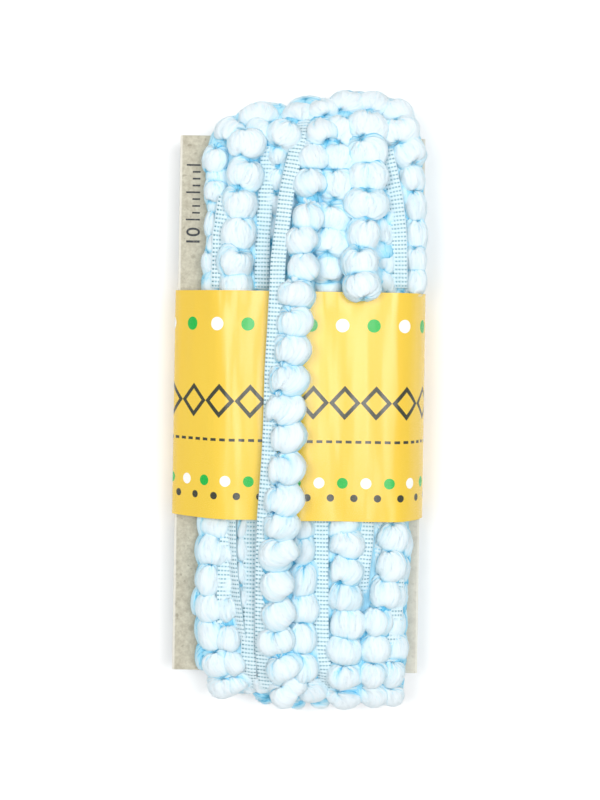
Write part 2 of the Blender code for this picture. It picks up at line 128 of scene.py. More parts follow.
class Nodes:
    """The nodes of one new material, ending in its Principled shader."""

    def __init__(self, name: str, **constants: float | Colour) -> None:
        """Starts a material.

        Args:
            name: the material's name.
            constants: what is the same all over, named as the shader's sockets with
                underscores for spaces.
        """
        self.material = bpy.data.materials.new(name)
        self.material.use_nodes = True
        self.tree = self.material.node_tree
        self.shader = self.tree.nodes["Principled BSDF"]
        for socket, value in constants.items():
            self.feed(self.shader.inputs[socket.replace("_", " ")], value)

    def feed(self, socket: bpy.types.NodeSocket, value: "Value | float | Sequence[float]") -> None:
        """Links a value to a socket, or sets it there."""
        if isinstance(value, Value):
            self.tree.links.new(value.socket, socket)
        elif socket.type == "RGBA" and len(value) == 3:
            socket.default_value = (*value, 1.0)
        else:
            socket.default_value = value

    def add(
        self,
        kind: str,
        settings: dict[str, object] | None = None,
        sockets: dict[int | str, object] | None = None,
        output: int | str = 0,
    ) -> Value:
        """Adds a node.

        Args:
            kind: the node's type.
            settings: its settings, set first. "stops" is a ramp's places and colours.
            sockets: values or links of its inputs.
            output: which output to return.

        Returns:
            That output.
        """
        node = self.tree.nodes.new(kind)
        for name, value in (settings or {}).items():
            if name == "stops":
                ramp = node.color_ramp
                while len(ramp.elements) < len(value):
                    ramp.elements.new(0.5)
                for element, (place, colour) in zip(ramp.elements, value):
                    element.position = place
                    element.color = (*colour, 1.0)
            else:
                setattr(node, name, value)
        for key, value in (sockets or {}).items():
            self.feed(node.inputs[key], value)
        return Value(self, node.outputs[output])

    def noise(self, place: Value, scale: float, detail: float = 2.0, rough: float = 0.5) -> Value:
        """Noise from 0 to 1 at a place."""
        sockets = {"Vector": place, "Scale": scale, "Detail": detail, "Roughness": rough}
        return self.add("ShaderNodeTexNoise", None, sockets)

    def stretched(self, place: Value, scale: Sequence[float]) -> Value:
        """A place with each axis scaled, for a pattern drawn out along one of them."""
        return self.add("ShaderNodeMapping", None, {"Vector": place, "Scale": scale})

    def axes(self, place: Value) -> tuple[Value, Value, Value]:
        """The three numbers of a place."""
        first = self.add("ShaderNodeSeparateXYZ", None, {0: place})
        node = first.socket.node
        return first, Value(self, node.outputs[1]), Value(self, node.outputs[2])

    def attribute(self, name: str, output: str) -> Value:
        """An attribute of the piece's mesh."""
        return self.add("ShaderNodeAttribute", {"attribute_name": name}, None, output)

    def object_place(self) -> Value:
        """The place in the piece, in metres."""
        return self.add("ShaderNodeTexCoord", None, None, "Object")

    def mixed(self, share: Value | float, low: Value | Colour, high: Value | Colour) -> Value:
        """A colour between two others."""
        settings = {"data_type": "RGBA", "clamp_factor": True}
        return self.add("ShaderNodeMix", settings, {0: share, 6: low, 7: high}, 2)

    def ramp(self, place: Value, stops: Sequence[tuple[float, Colour]]) -> Value:
        """A colour read from a ramp."""
        return self.add("ShaderNodeValToRGB", {"stops": stops}, {0: place})

    def bumps(self, height: Value, depth: float, strength: float = 1.0) -> Value:
        """A normal from a height between 0 and 1, with its depth in millimetres."""
        sockets = {"Strength": strength, "Distance": depth * MM, "Height": height}
        return self.add("ShaderNodeBump", None, sockets)

    def finish(self, **links: Value) -> bpy.types.Material:
        """Links the shader's inputs, named with underscores, and returns the material."""
        for socket, value in links.items():
            self.feed(self.shader.inputs[socket.replace("_", " ")], value)
        return self.material


# --- Finishes -----------------------------------------------------------------------------


@dataclass(frozen=True)
class RovingFinish:
    """Soft baby-blue roving: fine filaments from pinch to pinch, deep blue in its folds.

    The deep blue is painted shade, and the folds get a faint painted glow.
    """

    name: str = "baby_blue_roving"
    # The colours from crown to crease are steps of painted shade, picked by the shade attribute
    crown: Colour = (0.81, 0.888, 0.925)
    side: Colour = (0.68, 0.85, 0.92)
    fold: Colour = (0.36, 0.69, 0.85)
    crease: Colour = (0.10, 0.42, 0.66)
    # A faint blue painted glow in shaded places; lit is the range of painted shade it rises over
    painted_glow: Colour = (0.0, 0.06, 0.09)
    filaments: float = 5.5
    lines: Row = (0.50, 0.70)
    # How much lines darken near a pinch, in shade and everywhere, and then the finest ones
    line_tone: Row = (0.46, 0.2, 0.04)
    fine_tone: Row = (0.26, 0.12)
    tuft_tone: float = 0.24
    places: Row = (0.0, 0.28, 0.62, 1.0)
    lit: Row = (0.08, 0.90)
    filament_depth: float = 0.46
    roughness: float = 0.85

    def material(self) -> bpy.types.Material:
        """Returns the finish as a material that paints shade from the puffs' attributes."""
        nodes = Nodes(
            self.name,
            Roughness=self.roughness,
            Specular_IOR_Level=0.12,
            Sheen_Weight=0.1,
            Sheen_Roughness=0.5,
            Sheen_Tint=(0.80, 0.95, 1.0),
            Emission_Strength=1.0,
        )
        gather = nodes.attribute("gather", "Vector")
        shade = nodes.attribute("shade", "Fac")
        fan = nodes.attribute("fan", "Fac")
        strands = nodes.noise(gather, self.filaments, 3.0, 0.62)
        fine = nodes.noise(gather, self.filaments * 3.1, 2.0, 0.6)
        tufts = nodes.noise(gather, self.filaments * 0.30, 2.0)
        lines = strands.rising(*self.lines)
        near, within, base = self.line_tone
        # Painted shade: the shade attribute, with filament lines and tufts on it, picks the colour
        tone = shade + lines * (fan * near + shade * within + base)
        near, base = self.fine_tone
        tone = tone + (fine - 0.5) * (fan * near + base) + (tufts - 0.5) * self.tuft_tone
        stops = tuple(zip(self.places, (self.crown, self.side, self.fold, self.crease)))
        height = strands * 0.9 + fine * 0.25 + tufts * 0.8
        return nodes.finish(
            Base_Color=nodes.ramp(tone, stops),
            # Painted glow: a faint blue emission that rises with the painted shade
            Emission_Color=nodes.mixed(tone.rising(*self.lit), (0.0, 0.0, 0.0), self.painted_glow),
            Normal=nodes.bumps(height, self.filament_depth),
        )


@dataclass(frozen=True)
class TapeFinish:
    """Knotted cotton heading tape: near-white blue threads with fine twist."""

    name: str = "heading_tape_thread"
    thread: Colour = (0.72, 0.86, 0.91)
    hollow: Colour = (0.52, 0.76, 0.86)
    twist: float = 3.2

    def material(self) -> bpy.types.Material:
        """Returns the finish as a material that follows the tape's own UV map."""
        nodes = Nodes(self.name, Roughness=0.8, Specular_IOR_Level=0.2, Sheen_Weight=0.15)
        place = nodes.add("ShaderNodeUVMap", {"uv_map": "tape"})
        fibres = nodes.noise(nodes.stretched(place, (self.twist, self.twist * 0.5, 1.0)), 1.0, 3.0)
        worn = nodes.noise(nodes.object_place(), 140.0, 2.0)
        tone = (fibres - 0.5) * 0.9 + (worn - 0.42) * 1.2
        return nodes.finish(
            Base_Color=nodes.mixed(tone, self.thread, self.hollow),
            Normal=nodes.bumps(fibres, 0.12),
        )


@dataclass(frozen=True)
class SlotShadeFinish:
    """A strip of painted shade in the tape's slots: dark blue-grey, darkest at one edge."""

    name: str = "tape_ground"
    dark: Colour = (0.30, 0.53, 0.61)
    light: Colour = (0.45, 0.69, 0.76)
    edge: Colour = (0.24, 0.47, 0.55)
    edge_ends: Row = (-1.75, -1.50)

    def material(self) -> bpy.types.Material:
        """Returns the finish as a material with a fine grain."""
        nodes = Nodes(self.name, Roughness=0.9, Specular_IOR_Level=0.1)
        grain = nodes.noise(nodes.object_place(), 900.0, 2.0)
        across, _, _ = nodes.axes(nodes.add("ShaderNodeUVMap", {"uv_map": "tape"}))
        # Painted shade: dark blue-grey with grain, darker at one edge, for the shadow in the slots
        slot_shade_colour = nodes.mixed(grain, self.dark, self.light)
        edge = 1.0 - across.rising(*self.edge_ends)
        return nodes.finish(
            Base_Color=nodes.mixed(edge * 0.85, slot_shade_colour, self.edge), Normal=nodes.bumps(grain, 0.1)
        )


@dataclass(frozen=True)
class BoardFinish:
    """Grey-beige chipboard: pressed pulp with pale fibres, dark flecks and paler cut edges.

    Its right side is paled towards the edge colour as painted light.
    """

    name: str = "chipboard_pulp"
    pulp: Colour = (0.44, 0.405, 0.315)
    pale: Colour = (0.62, 0.59, 0.475)
    fleck: Colour = (0.27, 0.24, 0.18)
    # Paler colour of the cut edges, used also for the painted light on the right side
    edge: Colour = (0.86, 0.835, 0.76)
    half_width: float = 44.0

    def material(self) -> bpy.types.Material:
        """Returns the finish as a material on the board's own coordinates."""
        nodes = Nodes(self.name, Roughness=0.92, Specular_IOR_Level=0.15)
        place = nodes.object_place()
        across, along, _ = nodes.axes(place)
        cloud = nodes.noise(place, 60.0, 3.0)
        grain = nodes.noise(place, 620.0, 4.0, 0.7)
        fibre = nodes.noise(nodes.stretched(place, (900.0, 330.0, 600.0)), 1.0, 3.0, 0.6)
        specks = nodes.noise(place, 480.0, 1.0).rising(0.64, 0.72)
        knots = nodes.noise(place, 210.0, 0.0).rising(0.78, 0.82)
        pulp = nodes.mixed(grain * 2.6 + cloud * 0.5 - 1.0, self.pulp, self.pale)
        pulp = nodes.mixed(specks * 0.45 + knots * 0.35, pulp, self.fleck)
        rim = abs(across).rising((self.half_width - 1.1) * MM, (self.half_width - 0.5) * MM)
        # Painted light: the card grows paler towards its right side, where more light falls
        painted_light_right = across.rising((self.half_width - 12.0) * MM, (self.half_width - 4.0) * MM)
        # The mask now holds the real paler cut edges and the painted light on the right side
        rim = rim.maths("MAXIMUM", rim, painted_light_right * 0.62)
        return nodes.finish(
            Base_Color=nodes.mixed(rim * 0.7, pulp, self.edge),
            Normal=nodes.bumps(grain * 0.6 + fibre * 0.6, 0.12),
        )


@dataclass(frozen=True)
class InkFinish:
    """Dark grey stamping ink, thin and a little broken on the rough board."""

    name: str = "stamping_ink"
    ink: Colour = (0.055, 0.060, 0.066)
    worn: Colour = (0.20, 0.19, 0.17)

    def material(self) -> bpy.types.Material:
        """Returns the finish as a material with worn places."""
        nodes = Nodes(self.name, Roughness=0.75, Specular_IOR_Level=0.2)
        wear = nodes.noise(nodes.object_place(), 1300.0, 3.0, 0.7)
        return nodes.finish(
            Base_Color=nodes.mixed(wear.rising(0.5, 0.75), self.ink, self.worn),
            Normal=nodes.bumps(wear, 0.03),
        )


@dataclass(frozen=True)
class DiscRow:
    """A row of printed discs: its height on the band, their pitch, radius and offset along it."""

    height: float
    pitch: float
    radius: float
    offset: float


@dataclass(frozen=True)
class PaperFinish:
    """Glossy yellow paper printed with plain rows of dots, lozenges and a stitched line."""

    name: str = "printed_yellow_paper"
    yellow: Colour = (0.86, 0.60, 0.066)
    deeper: Colour = (0.83, 0.535, 0.05)
    white: Colour = (0.93, 0.93, 0.90)
    green: Colour = (0.010, 0.46, 0.060)
    charcoal: Colour = (0.045, 0.050, 0.032)
    top_dots: DiscRow = DiscRow(27.0, 11.0, 2.35, 1.2)
    low_dots: DiscRow = DiscRow(-28.0, 8.2, 1.9, 4.4)
    low_dots_b: DiscRow = DiscRow(-33.2, 8.2, 1.3, 0.3)
    lozenge_pitch: float = 11.0
    lozenge_height: float = 0.0
    lozenge_reach: float = 6.0
    lozenge_stroke: float = 0.17
    stitch_height: float = -13.6
    stitch_pitch: float = 3.4
    stitch_length: float = 2.1
    stitch_half: float = 0.5

    def dots(self, across: Value, along: Value, row: DiscRow) -> Value:
        """Returns 1 on the discs of a row."""
        side = (across + row.offset).wrapped(row.pitch) - row.pitch / 2
        off = along - row.height
        return (side * side + off * off) < row.radius**2

    def every_other(self, across: Value, row: DiscRow) -> Value:
        """Returns 1 on every second disc of a row."""
        return (across + row.offset).wrapped(2 * row.pitch) < row.pitch

    def material(self) -> bpy.types.Material:
        """Returns the finish as a material that follows the band's own UV map."""
        nodes = Nodes(self.name, Specular_IOR_Level=0.5, Coat_Roughness=0.16, IOR=1.5)
        place = nodes.add("ShaderNodeUVMap", {"uv_map": "paper"})
        across, along, _ = nodes.axes(place)
        cloud = nodes.noise(nodes.stretched(place, (0.05, 0.012, 1.0)), 1.0, 2.0)
        pulp = nodes.noise(place, 3.0, 2.0)
        paper = nodes.mixed(cloud.rising(0.3, 0.7) * 0.5 + pulp * 0.1, self.yellow, self.deeper)
        for row in (self.top_dots, self.low_dots):
            colour = nodes.mixed(self.every_other(across, row), self.white, self.green)
            paper = nodes.mixed(self.dots(across, along, row), paper, colour)
        small = self.dots(across, along, self.low_dots_b)
        paper = nodes.mixed(small, paper, self.charcoal)
        side = abs(across.wrapped(self.lozenge_pitch) / self.lozenge_pitch - 0.5) * 2.0
        rise = abs(along - self.lozenge_height) / self.lozenge_reach
        line = abs(side + rise - (1.0 - self.lozenge_stroke)) < self.lozenge_stroke
        stitch = abs(along - self.stitch_height) < self.stitch_half
        stitch = stitch * (across.wrapped(self.stitch_pitch) < self.stitch_length)
        printed = line.maths("MAXIMUM", line, stitch)
        fold = nodes.noise(nodes.stretched(place, (0.16, 0.02, 1.0)), 1.0, 2.0)
        return nodes.finish(
            Base_Color=nodes.mixed(printed, paper, self.charcoal),
            Roughness=pulp * 0.10 + 0.22,
            Normal=nodes.bumps(fold * 0.8 + pulp * 0.05, 0.5, 0.6),
        )


@dataclass(frozen=True)
class FloorFinish:
    """A plain pale surface."""

    name: str = "pale_floor"
    light: Colour = (0.99, 0.99, 0.99)
    dark: Colour = (0.98, 0.98, 0.982)

    def material(self) -> bpy.types.Material:
        """Returns the finish as a material."""
        nodes = Nodes(self.name, Roughness=0.9, Specular_IOR_Level=0.1)
        cloud = nodes.noise(nodes.object_place(), 3.0, 2.0)
        return nodes.finish(Base_Color=nodes.mixed(cloud, self.light, self.dark))


# --- Modelling helpers --------------------------------------------------------------------


def choose(item: Item) -> None:
    """Makes an object the only one that Blender's operators work on."""
    bpy.ops.object.select_all(action="DESELECT")
    bpy.context.view_layer.objects.active = item
    item.select_set(True)


def added(operator: Callable[..., object], name: str, **settings: object) -> Item:
    """Adds an object with one of Blender's operators, and names it and its data."""
    bpy.ops.object.select_all(action="DESELECT")
    operator(**settings)
    item = bpy.context.object
    item.name = item.data.name = name
    return item


@contextmanager
def editing(item: Item) -> Iterator[bmesh.types.BMesh]:
    """Opens an object in edit mode with all of it selected, and closes it again.

    Args:
        item: a mesh object.

    Yields:
        Its mesh, for selecting in code.
    """
    choose(item)
    bpy.ops.object.mode_set(mode="EDIT")
    shape = bmesh.from_edit_mesh(item.data)
    shape.select_mode = {"VERT"}
    select_all()
    yield shape
    bpy.ops.object.mode_set(mode="OBJECT")


def select_all() -> None:
    """Selects the whole of the mesh that is open in edit mode."""
    bpy.ops.mesh.select_all(action="SELECT")


def pick(item: Item, test: Callable[[Array], bool]) -> None:
    """Selects the vertices whose place passes a test, and what lies wholly between them."""
    shape = bmesh.from_edit_mesh(item.data)
    for vert in shape.verts:
        vert.select_set(False)
    shape.select_flush(False)
    for vert in shape.verts:
        if test(np.array(vert.co)):
            vert.select_set(True)
    shape.select_flush(True)
    bmesh.update_edit_mesh(item.data)


def corners_of(item: Item) -> Array:
    """Returns the places of a mesh's vertices."""
    places = np.empty(len(item.data.vertices) * 3)
    item.data.vertices.foreach_get("co", places)
    return places.reshape(-1, 3)


def move_corners(item: Item, places: Array) -> None:
    """Puts a mesh's vertices at new places."""
    item.data.vertices.foreach_set("co", places.astype(np.float32).ravel())
    item.data.update()


def taken(item: Item) -> Mesh:
    """Returns an object's vertices and faces, and removes the object."""
    mesh = corners_of(item), [tuple(polygon.vertices) for polygon in item.data.polygons]
    bpy.data.objects.remove(item)
    return mesh


def thicken(item: Item, thickness: float, offset: float = 0.0) -> None:
    """Gives a sheet its thickness: half on each side at an offset of 0, all below it at -1."""
    solidify = item.modifiers.new("Thickness", "SOLIDIFY")
    solidify.thickness = thickness
    solidify.offset = offset
    choose(item)
    bpy.ops.object.modifier_apply(modifier=solidify.name)


def smooth(item: Item, degrees: float) -> None:
    """Shades an object smooth, apart from the edges that are sharper than an angle."""
    item.data.shade_smooth()
    choose(item)
    bpy.ops.object.shade_smooth_by_angle(angle=math.radians(degrees))


def mesh_piece(name: str, parts: Sequence[Mesh]) -> Item:
    """Makes one smooth object from several meshes.

    Args:
        name: the piece's name.
        parts: the vertices of each, in millimetres, and its faces as indices of them.

    Returns:
        The object, at the origin.
    """
    faces: list[tuple[int, ...]] = []
    start = 0
    for points, own in parts:
        faces += [tuple(corner + start for corner in face) for face in own]
        start += len(points)
    mesh = bpy.data.meshes.new(name)
    mesh.from_pydata((np.vstack([points for points, _ in parts]) * MM).tolist(), [], faces)
    mesh.shade_smooth()
    item = bpy.data.objects.new(name, mesh)
    bpy.context.scene.collection.objects.link(item)
    return item


def corners_round(item: Item) -> Array:
    """Returns the vertex at each corner of a mesh's faces."""
    corners = np.empty(len(item.data.loops), dtype=np.int32)
    item.data.loops.foreach_get("vertex_index", corners)
    return corners


def add_uv(item: Item, name: str, flat: Array) -> None:
    """Gives a mesh a UV map, from a row for each corner of its faces."""
    uv = item.data.uv_layers.new(name=name)
    uv.data.foreach_set("uv", flat.astype(np.float32).ravel())


def add_looks(item: Item, shade: Array, gather: Array, fan: Array) -> None:
    """Stores what the roving's finish reads at each point.

    Args:
        item: the piece.
        shade: how deep the point lies in shadow, from 0 to 1.
        gather: where it lies among the filaments.
        fan: how near it lies to a pinch.
    """
    for name, kind, key, values in (
        ("shade", "FLOAT", "value", np.clip(shade, 0.0, 1.0)),
        ("gather", "FLOAT_VECTOR", "vector", gather),
        ("fan", "FLOAT", "value", fan),
    ):
        kept = item.data.attributes.new(name, kind, "POINT")
        kept.data.foreach_set(key, values.astype(np.float32).ravel())


def dress(item: Item, material: bpy.types.Material) -> Item:
    """Gives a piece its material and its body."""
    item.data.materials.clear()
    item.data.materials.append(material)
    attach(item, BODY)
    LOG.info("%s: %d faces", item.name, len(item.data.polygons))
    return item


def lengths_along(points: Array) -> Array:
    """Returns how far along a line each of its points lies."""
    return np.concatenate([[0.0], np.cumsum(np.linalg.norm(np.diff(points, axis=0), axis=1))])


def read_at(places: Array, lengths: Array, values: Array) -> Array:
    """Returns the columns of values, read at places along a line."""
    return np.column_stack([np.interp(places, lengths, column) for column in values.T])


def unit(vectors: Array) -> Array:
    """Returns vectors scaled to a length of 1."""
    return vectors / np.linalg.norm(vectors, axis=-1, keepdims=True)


def smooth_step(values: Array, start: float, end: float) -> Array:
    """Goes smoothly from 0 at start to 1 at end."""
    share = np.clip((values - start) / (end - start), 0.0, 1.0)
    return share * share * (3.0 - 2.0 * share)


# --- The winding --------------------------------------------------------------------------

# Rows of the puffs that show on the front: x, y and z of a puff's middle, its width across
# the trim and its length along it
TOP_ROWS: dict[str, tuple[Row, ...]] = {
    "outer_left": (
        (-25.8, 94.6, 23.5, 9.8, 8.6), (-27.7, 90.7, 20.0, 7.7, 5.4),
        (-30.6, 85.2, 22.6, 9.4, 8.8), (-29.4, 78.8, 21.8, 8.0, 7.1),
        (-30.5, 73.9, 22.8, 8.8, 7.6), (-29.9, 69.2, 21.0, 6.9, 7.1),
        (-30.7, 62.3, 22.0, 6.9, 8.9), (-30.2, 54.9, 21.5, 6.9, 7.8),
        (-31.4, 48.5, 22.0, 6.9, 8.9), (-31.1, 40.7, 21.0, 7.6, 7.8),
    ),
    "second": (
        (-16.2, 100.8, 19.5, 13.2, 8.6), (-14.9, 95.4, 24.0, 9.2, 6.4),
        (-19.8, 90.1, 27.5, 12.0, 9.5), (-20.2, 79.5, 28.0, 11.9, 9.8),
        (-21.9, 69.4, 28.0, 12.3, 10.2), (-22.1, 58.9, 28.0, 11.6, 10.5),
        (-23.2, 48.9, 28.0, 11.6, 9.8), (-22.8, 40.7, 26.5, 11.3, 8.5),
    ),
    "third": (
        (-1.9, 101.4, 19.5, 10.4, 8.6), (-6.5, 93.3, 27.5, 12.0, 9.1),
        (-8.7, 86.4, 26.0, 7.8, 7.1), (-8.8, 78.3, 25.5, 7.8, 7.8), (-9.3, 69.6, 25.0, 7.1, 8.5),
        (-10.5, 61.1, 24.0, 7.1, 8.5),
    ),
    "fourth": (
        (15.9, 105.7, 20.0, 11.2, 8.9), (13.9, 95.2, 27.2, 10.8, 9.2),
        (12.8, 86.2, 28.6, 11.4, 9.1), (12.2, 76.3, 29.0, 12.0, 10.5),
        (11.4, 65.2, 28.6, 11.2, 8.9), (10.3, 55.6, 28.8, 12.2, 9.5),
        (9.4, 46.4, 28.4, 11.4, 9.1), (10.0, 39.8, 26.6, 10.0, 5.6),
    ),
    "sixth": (
        (28.2, 69.8, 25.0, 6.4, 8.5), (28.3, 60.5, 25.5, 6.7, 9.5), (29.0, 51.1, 25.5, 6.4, 9.9),
        (29.8, 43.0, 25.0, 6.4, 9.2),
    ),
    "right": (
        (33.2, 102.5, 19.5, 12.4, 8.6), (34.4, 95.8, 25.0, 12.4, 8.8),
        (37.9, 88.3, 25.5, 10.6, 8.8), (38.7, 79.6, 24.5, 8.5, 8.8), (40.2, 69.7, 24.0, 7.8, 9.6),
        (40.6, 59.8, 24.0, 7.4, 9.6), (40.5, 51.0, 24.0, 7.4, 9.2), (40.8, 42.5, 24.0, 7.4, 8.9),
    ),
}
FAR_CREST_ROWS: tuple[Row, ...] = (
    (-24.4, 96.4, 14.5, 10.0, 8.0), (-13.4, 102.2, 14.0, 13.0, 8.6),
    (1.8, 104.6, 13.5, 12.5, 8.6), (16.6, 106.6, 13.5, 13.5, 8.8), (29.6, 104.6, 13.5, 12.0, 8.6),
    (36.6, 98.6, 13.5, 8.4, 8.0),
)
BOTTOM_ROWS: dict[str, tuple[Row, ...]] = {
    "outer_left": (
        (-28.2, -43.7, 23.5, 9.1, 7.8), (-29.0, -52.0, 24.0, 10.4, 10.6),
        (-30.7, -62.1, 24.0, 9.4, 10.6), (-30.6, -72.2, 24.0, 9.1, 9.9),
        (-29.5, -81.9, 24.0, 9.4, 9.9), (-28.1, -91.6, 23.5, 10.1, 10.3),
        (-24.6, -100.1, 21.0, 12.2, 9.3),
    ),
    "second": (
        (-21.4, -53.2, 23.5, 5.7, 7.8), (-23.7, -63.8, 23.5, 5.7, 7.8),
        (-24.0, -72.6, 25.0, 6.4, 8.1), (-23.5, -83.2, 25.5, 8.1, 8.1),
        (-21.4, -91.8, 25.0, 7.1, 8.1), (-20.4, -99.1, 22.5, 8.2, 6.4),
        (-16.9, -101.0, 19.0, 5.7, 6.4),
    ),
    "between": (
        (-19.4, -43.6, 25.2, 4.6, 7.4), (-19.3, -51.4, 25.4, 4.8, 7.8),
        (-19.0, -59.6, 25.4, 4.4, 7.8), (-18.6, -67.8, 25.2, 4.2, 7.6),
    ),
    "third": (
        (-10.9, -90.1, 24.0, 6.4, 7.8), (-11.0, -98.9, 22.0, 7.1, 7.8),
        (-10.3, -106.4, 13.6, 7.2, 6.5),
    ),
    "fourth": (
        (2.3, -43.4, 27.0, 7.7, 7.7), (2.2, -51.1, 27.5, 8.1, 9.1), (2.3, -61.6, 28.0, 9.1, 10.5),
        (2.5, -71.1, 28.0, 9.1, 9.8), (2.6, -81.6, 28.0, 8.8, 10.2), (3.4, -92.1, 27.0, 9.2, 9.9),
        (5.8, -101.6, 22.5, 9.2, 9.2), (8.9, -107.0, 14.0, 8.6, 6.2),
    ),
    "fifth": (
        (15.9, -42.9, 27.0, 9.9, 7.0), (17.7, -48.7, 28.0, 10.9, 8.4),
        (17.3, -58.1, 28.0, 10.5, 9.5), (17.5, -67.5, 28.0, 11.6, 9.5),
        (18.2, -76.4, 28.0, 11.2, 9.8), (17.4, -85.7, 28.0, 11.6, 9.5),
        (17.6, -94.8, 26.5, 11.6, 9.5), (17.7, -103.5, 21.0, 12.1, 8.5),
    ),
    "sixth": (
        (34.1, -46.1, 27.0, 9.2, 9.9), (33.6, -56.0, 27.5, 9.8, 9.8),
        (31.2, -65.8, 27.5, 9.5, 9.8), (29.2, -75.5, 27.5, 9.8, 9.8),
        (28.5, -85.1, 27.0, 9.9, 9.5), (28.0, -94.1, 26.0, 9.5, 9.5),
        (27.3, -102.7, 21.0, 10.0, 8.9),
    ),
    "right": (
        (37.4, -49.2, 22.5, 7.1, 8.9), (37.1, -58.0, 23.0, 7.1, 9.2),
        (36.2, -67.4, 23.5, 7.1, 9.9), (35.8, -76.9, 23.5, 7.4, 9.6),
        (35.6, -85.4, 23.5, 7.8, 9.2), (35.0, -94.4, 23.0, 8.5, 9.6),
        (34.6, -103.1, 19.5, 9.3, 8.6),
    ),
}
LAST_TURN_ROWS: tuple[Row, ...] = (
    (6.6, 103.4, 21.0, 9.3, 7.8), (6.3, 94.9, 27.5, 10.5, 9.8), (3.5, 86.4, 29.5, 9.8, 8.8),
    (2.3, 77.4, 31.0, 11.2, 9.1), (1.8, 66.0, 32.0, 10.5, 9.8), (-0.1, 57.2, 33.5, 11.1, 9.4),
    (0.9, 47.7, 35.0, 10.4, 9.7), (-1.4, 38.7, 37.0, 11.4, 9.3), (-1.9, 29.3, 37.2, 11.0, 9.7),
    (-2.7, 19.7, 37.2, 11.4, 10.0), (-3.9, 9.3, 37.2, 12.1, 10.3), (-4.5, -0.7, 37.2, 12.4, 10.3),
    (-3.6, -10.6, 37.2, 11.7, 10.0), (-4.2, -21.7, 37.2, 11.7, 10.7),
    (-4.9, -32.1, 37.2, 11.7, 10.0), (-5.5, -41.5, 36.5, 11.7, 9.0),
    (-6.2, -51.0, 35.5, 12.5, 10.0), (-7.0, -61.7, 34.0, 10.8, 10.4),
    (-6.4, -72.1, 32.5, 10.8, 10.4), (-6.7, -82.1, 31.0, 11.5, 9.4),
    (-4.1, -91.4, 29.5, 11.6, 9.8), (-3.3, -100.8, 26.0, 12.0, 9.5),
    (-2.2, -107.0, 15.0, 11.5, 6.5),
)
# How far off the middle the last turn's pinches sit: over the band, and beyond it
LAST_PINCHES: Row = (-0.85, 0.2)
LOOSE_END_ROWS: tuple[Row, ...] = (
    (24.8, 106.0, 19.5, 10.0, 8.9), (22.6, 96.6, 27.5, 12.7, 9.8), (22.6, 88.1, 29.5, 12.6, 9.5),
    (22.7, 79.1, 30.5, 12.6, 9.1), (22.2, 69.6, 31.0, 14.0, 9.8), (21.7, 58.7, 32.0, 10.5, 10.1),
    (20.5, 49.1, 34.0, 11.8, 9.7), (21.2, 40.8, 36.0, 12.4, 9.0),
)

# Where the heading tapes run on the front: x, y and z of the tape's middle
TAPE_RUNS: dict[str, tuple[Row, ...]] = {
    "second_top": (
        (-26.7, 71.7, 29.0), (-27.5, 66.2, 28.0), (-28.6, 58.1, 27.5), (-28.9, 39.5, 26.5),
    ),
    "third_top": (
        (-12.2, 89.6, 28.0), (-12.3, 83.0, 28.0), (-12.7, 75.9, 28.5), (-13.1, 65.3, 28.5),
        (-13.6, 56.6, 28.0), (-13.7, 46.0, 28.0), (-13.6, 39.4, 27.0),
    ),
    "right_top": (
        (28.9, 89.0, 27.0), (30.4, 82.7, 27.5), (32.7, 72.1, 28.0), (34.1, 60.9, 28.0),
        (34.6, 50.3, 28.0), (34.8, 40.5, 27.0),
    ),
    "outer_left_bottom": (
        (-23.3, -40.4, 26.4), (-24.3, -49.5, 27.0), (-24.9, -60.2, 27.2), (-25.1, -70.8, 27.0),
        (-24.6, -81.5, 25.6), (-22.4, -93.3, 22.0),
    ),
    "second_bottom": (
        (-23.6, -40.7, 27.6), (-23.0, -56.1, 28.0), (-21.6, -68.4, 28.0), (-19.9, -80.4, 27.4),
        (-17.8, -90.7, 25.0),
    ),
    "third_bottom": (
        (-16.2, -40.5, 28.0), (-16.0, -55.9, 28.6), (-15.9, -69.9, 28.6), (-16.1, -84.0, 28.4),
        (-16.2, -94.8, 27.0), (-16.0, -102.4, 22.0),
    ),
    "fifth_bottom": (
        (8.4, -40.0, 28.3), (8.7, -55.4, 28.5), (9.0, -73.0, 28.5), (9.4, -87.0, 28.5),
        (10.7, -96.0, 27.5), (11.7, -105.3, 20.0),
    ),
    "sixth_bottom": (
        (24.8, -39.8, 28.0), (24.4, -49.9, 28.5), (23.3, -60.5, 28.0), (23.1, -69.8, 25.5),
    ),
    "right_bottom": (
        (31.4, -39.9, 26.5), (30.5, -50.1, 26.5), (28.9, -62.5, 26.0),
    ),
    "right_low": (
        (35.8, -55.2, 27.0), (35.5, -65.6, 28.0), (35.2, -76.1, 28.0), (34.7, -88.7, 27.0),
        (33.8, -102.6, 21.0),
    ),
}
TAPE_TWISTS: dict[str, float] = {
    "second_bottom": -34.0,
    "outer_left_bottom": 20.0,
    "sixth_bottom": 20.0,
    "right_low": 30.0,
}
LAST_TAPE_RUN: tuple[Row, ...] = (
    (-0.1, 101.1, 23.0), (-0.7, 95.4, 28.0), (-1.9, 89.4, 31.0), (-3.7, 81.5, 33.0),
    (-5.3, 73.8, 33.5), (-6.2, 66.1, 34.0), (-7.1, 58.0, 34.5), (-8.0, 48.6, 36.0),
    (-8.2, 38.9, 37.0), (-8.7, 26.8, 37.0), (-9.4, 11.6, 37.0), (-9.6, -7.0, 37.0),
    (-10.0, -19.4, 37.0), (-10.7, -31.5, 37.0), (-11.3, -40.5, 36.5), (-11.5, -54.7, 35.0),
    (-11.5, -72.4, 33.0), (-11.3, -86.8, 31.0), (-9.9, -102.0, 26.0),
)


class Detail(Enum):
    """How finely puffs are modelled: faces round them, and faces from pinch to pinch."""

    FINE = (48, 20)
    FINEST = (72, 26)
    PLAIN = (26, 14)
    INNER = (16, 10)


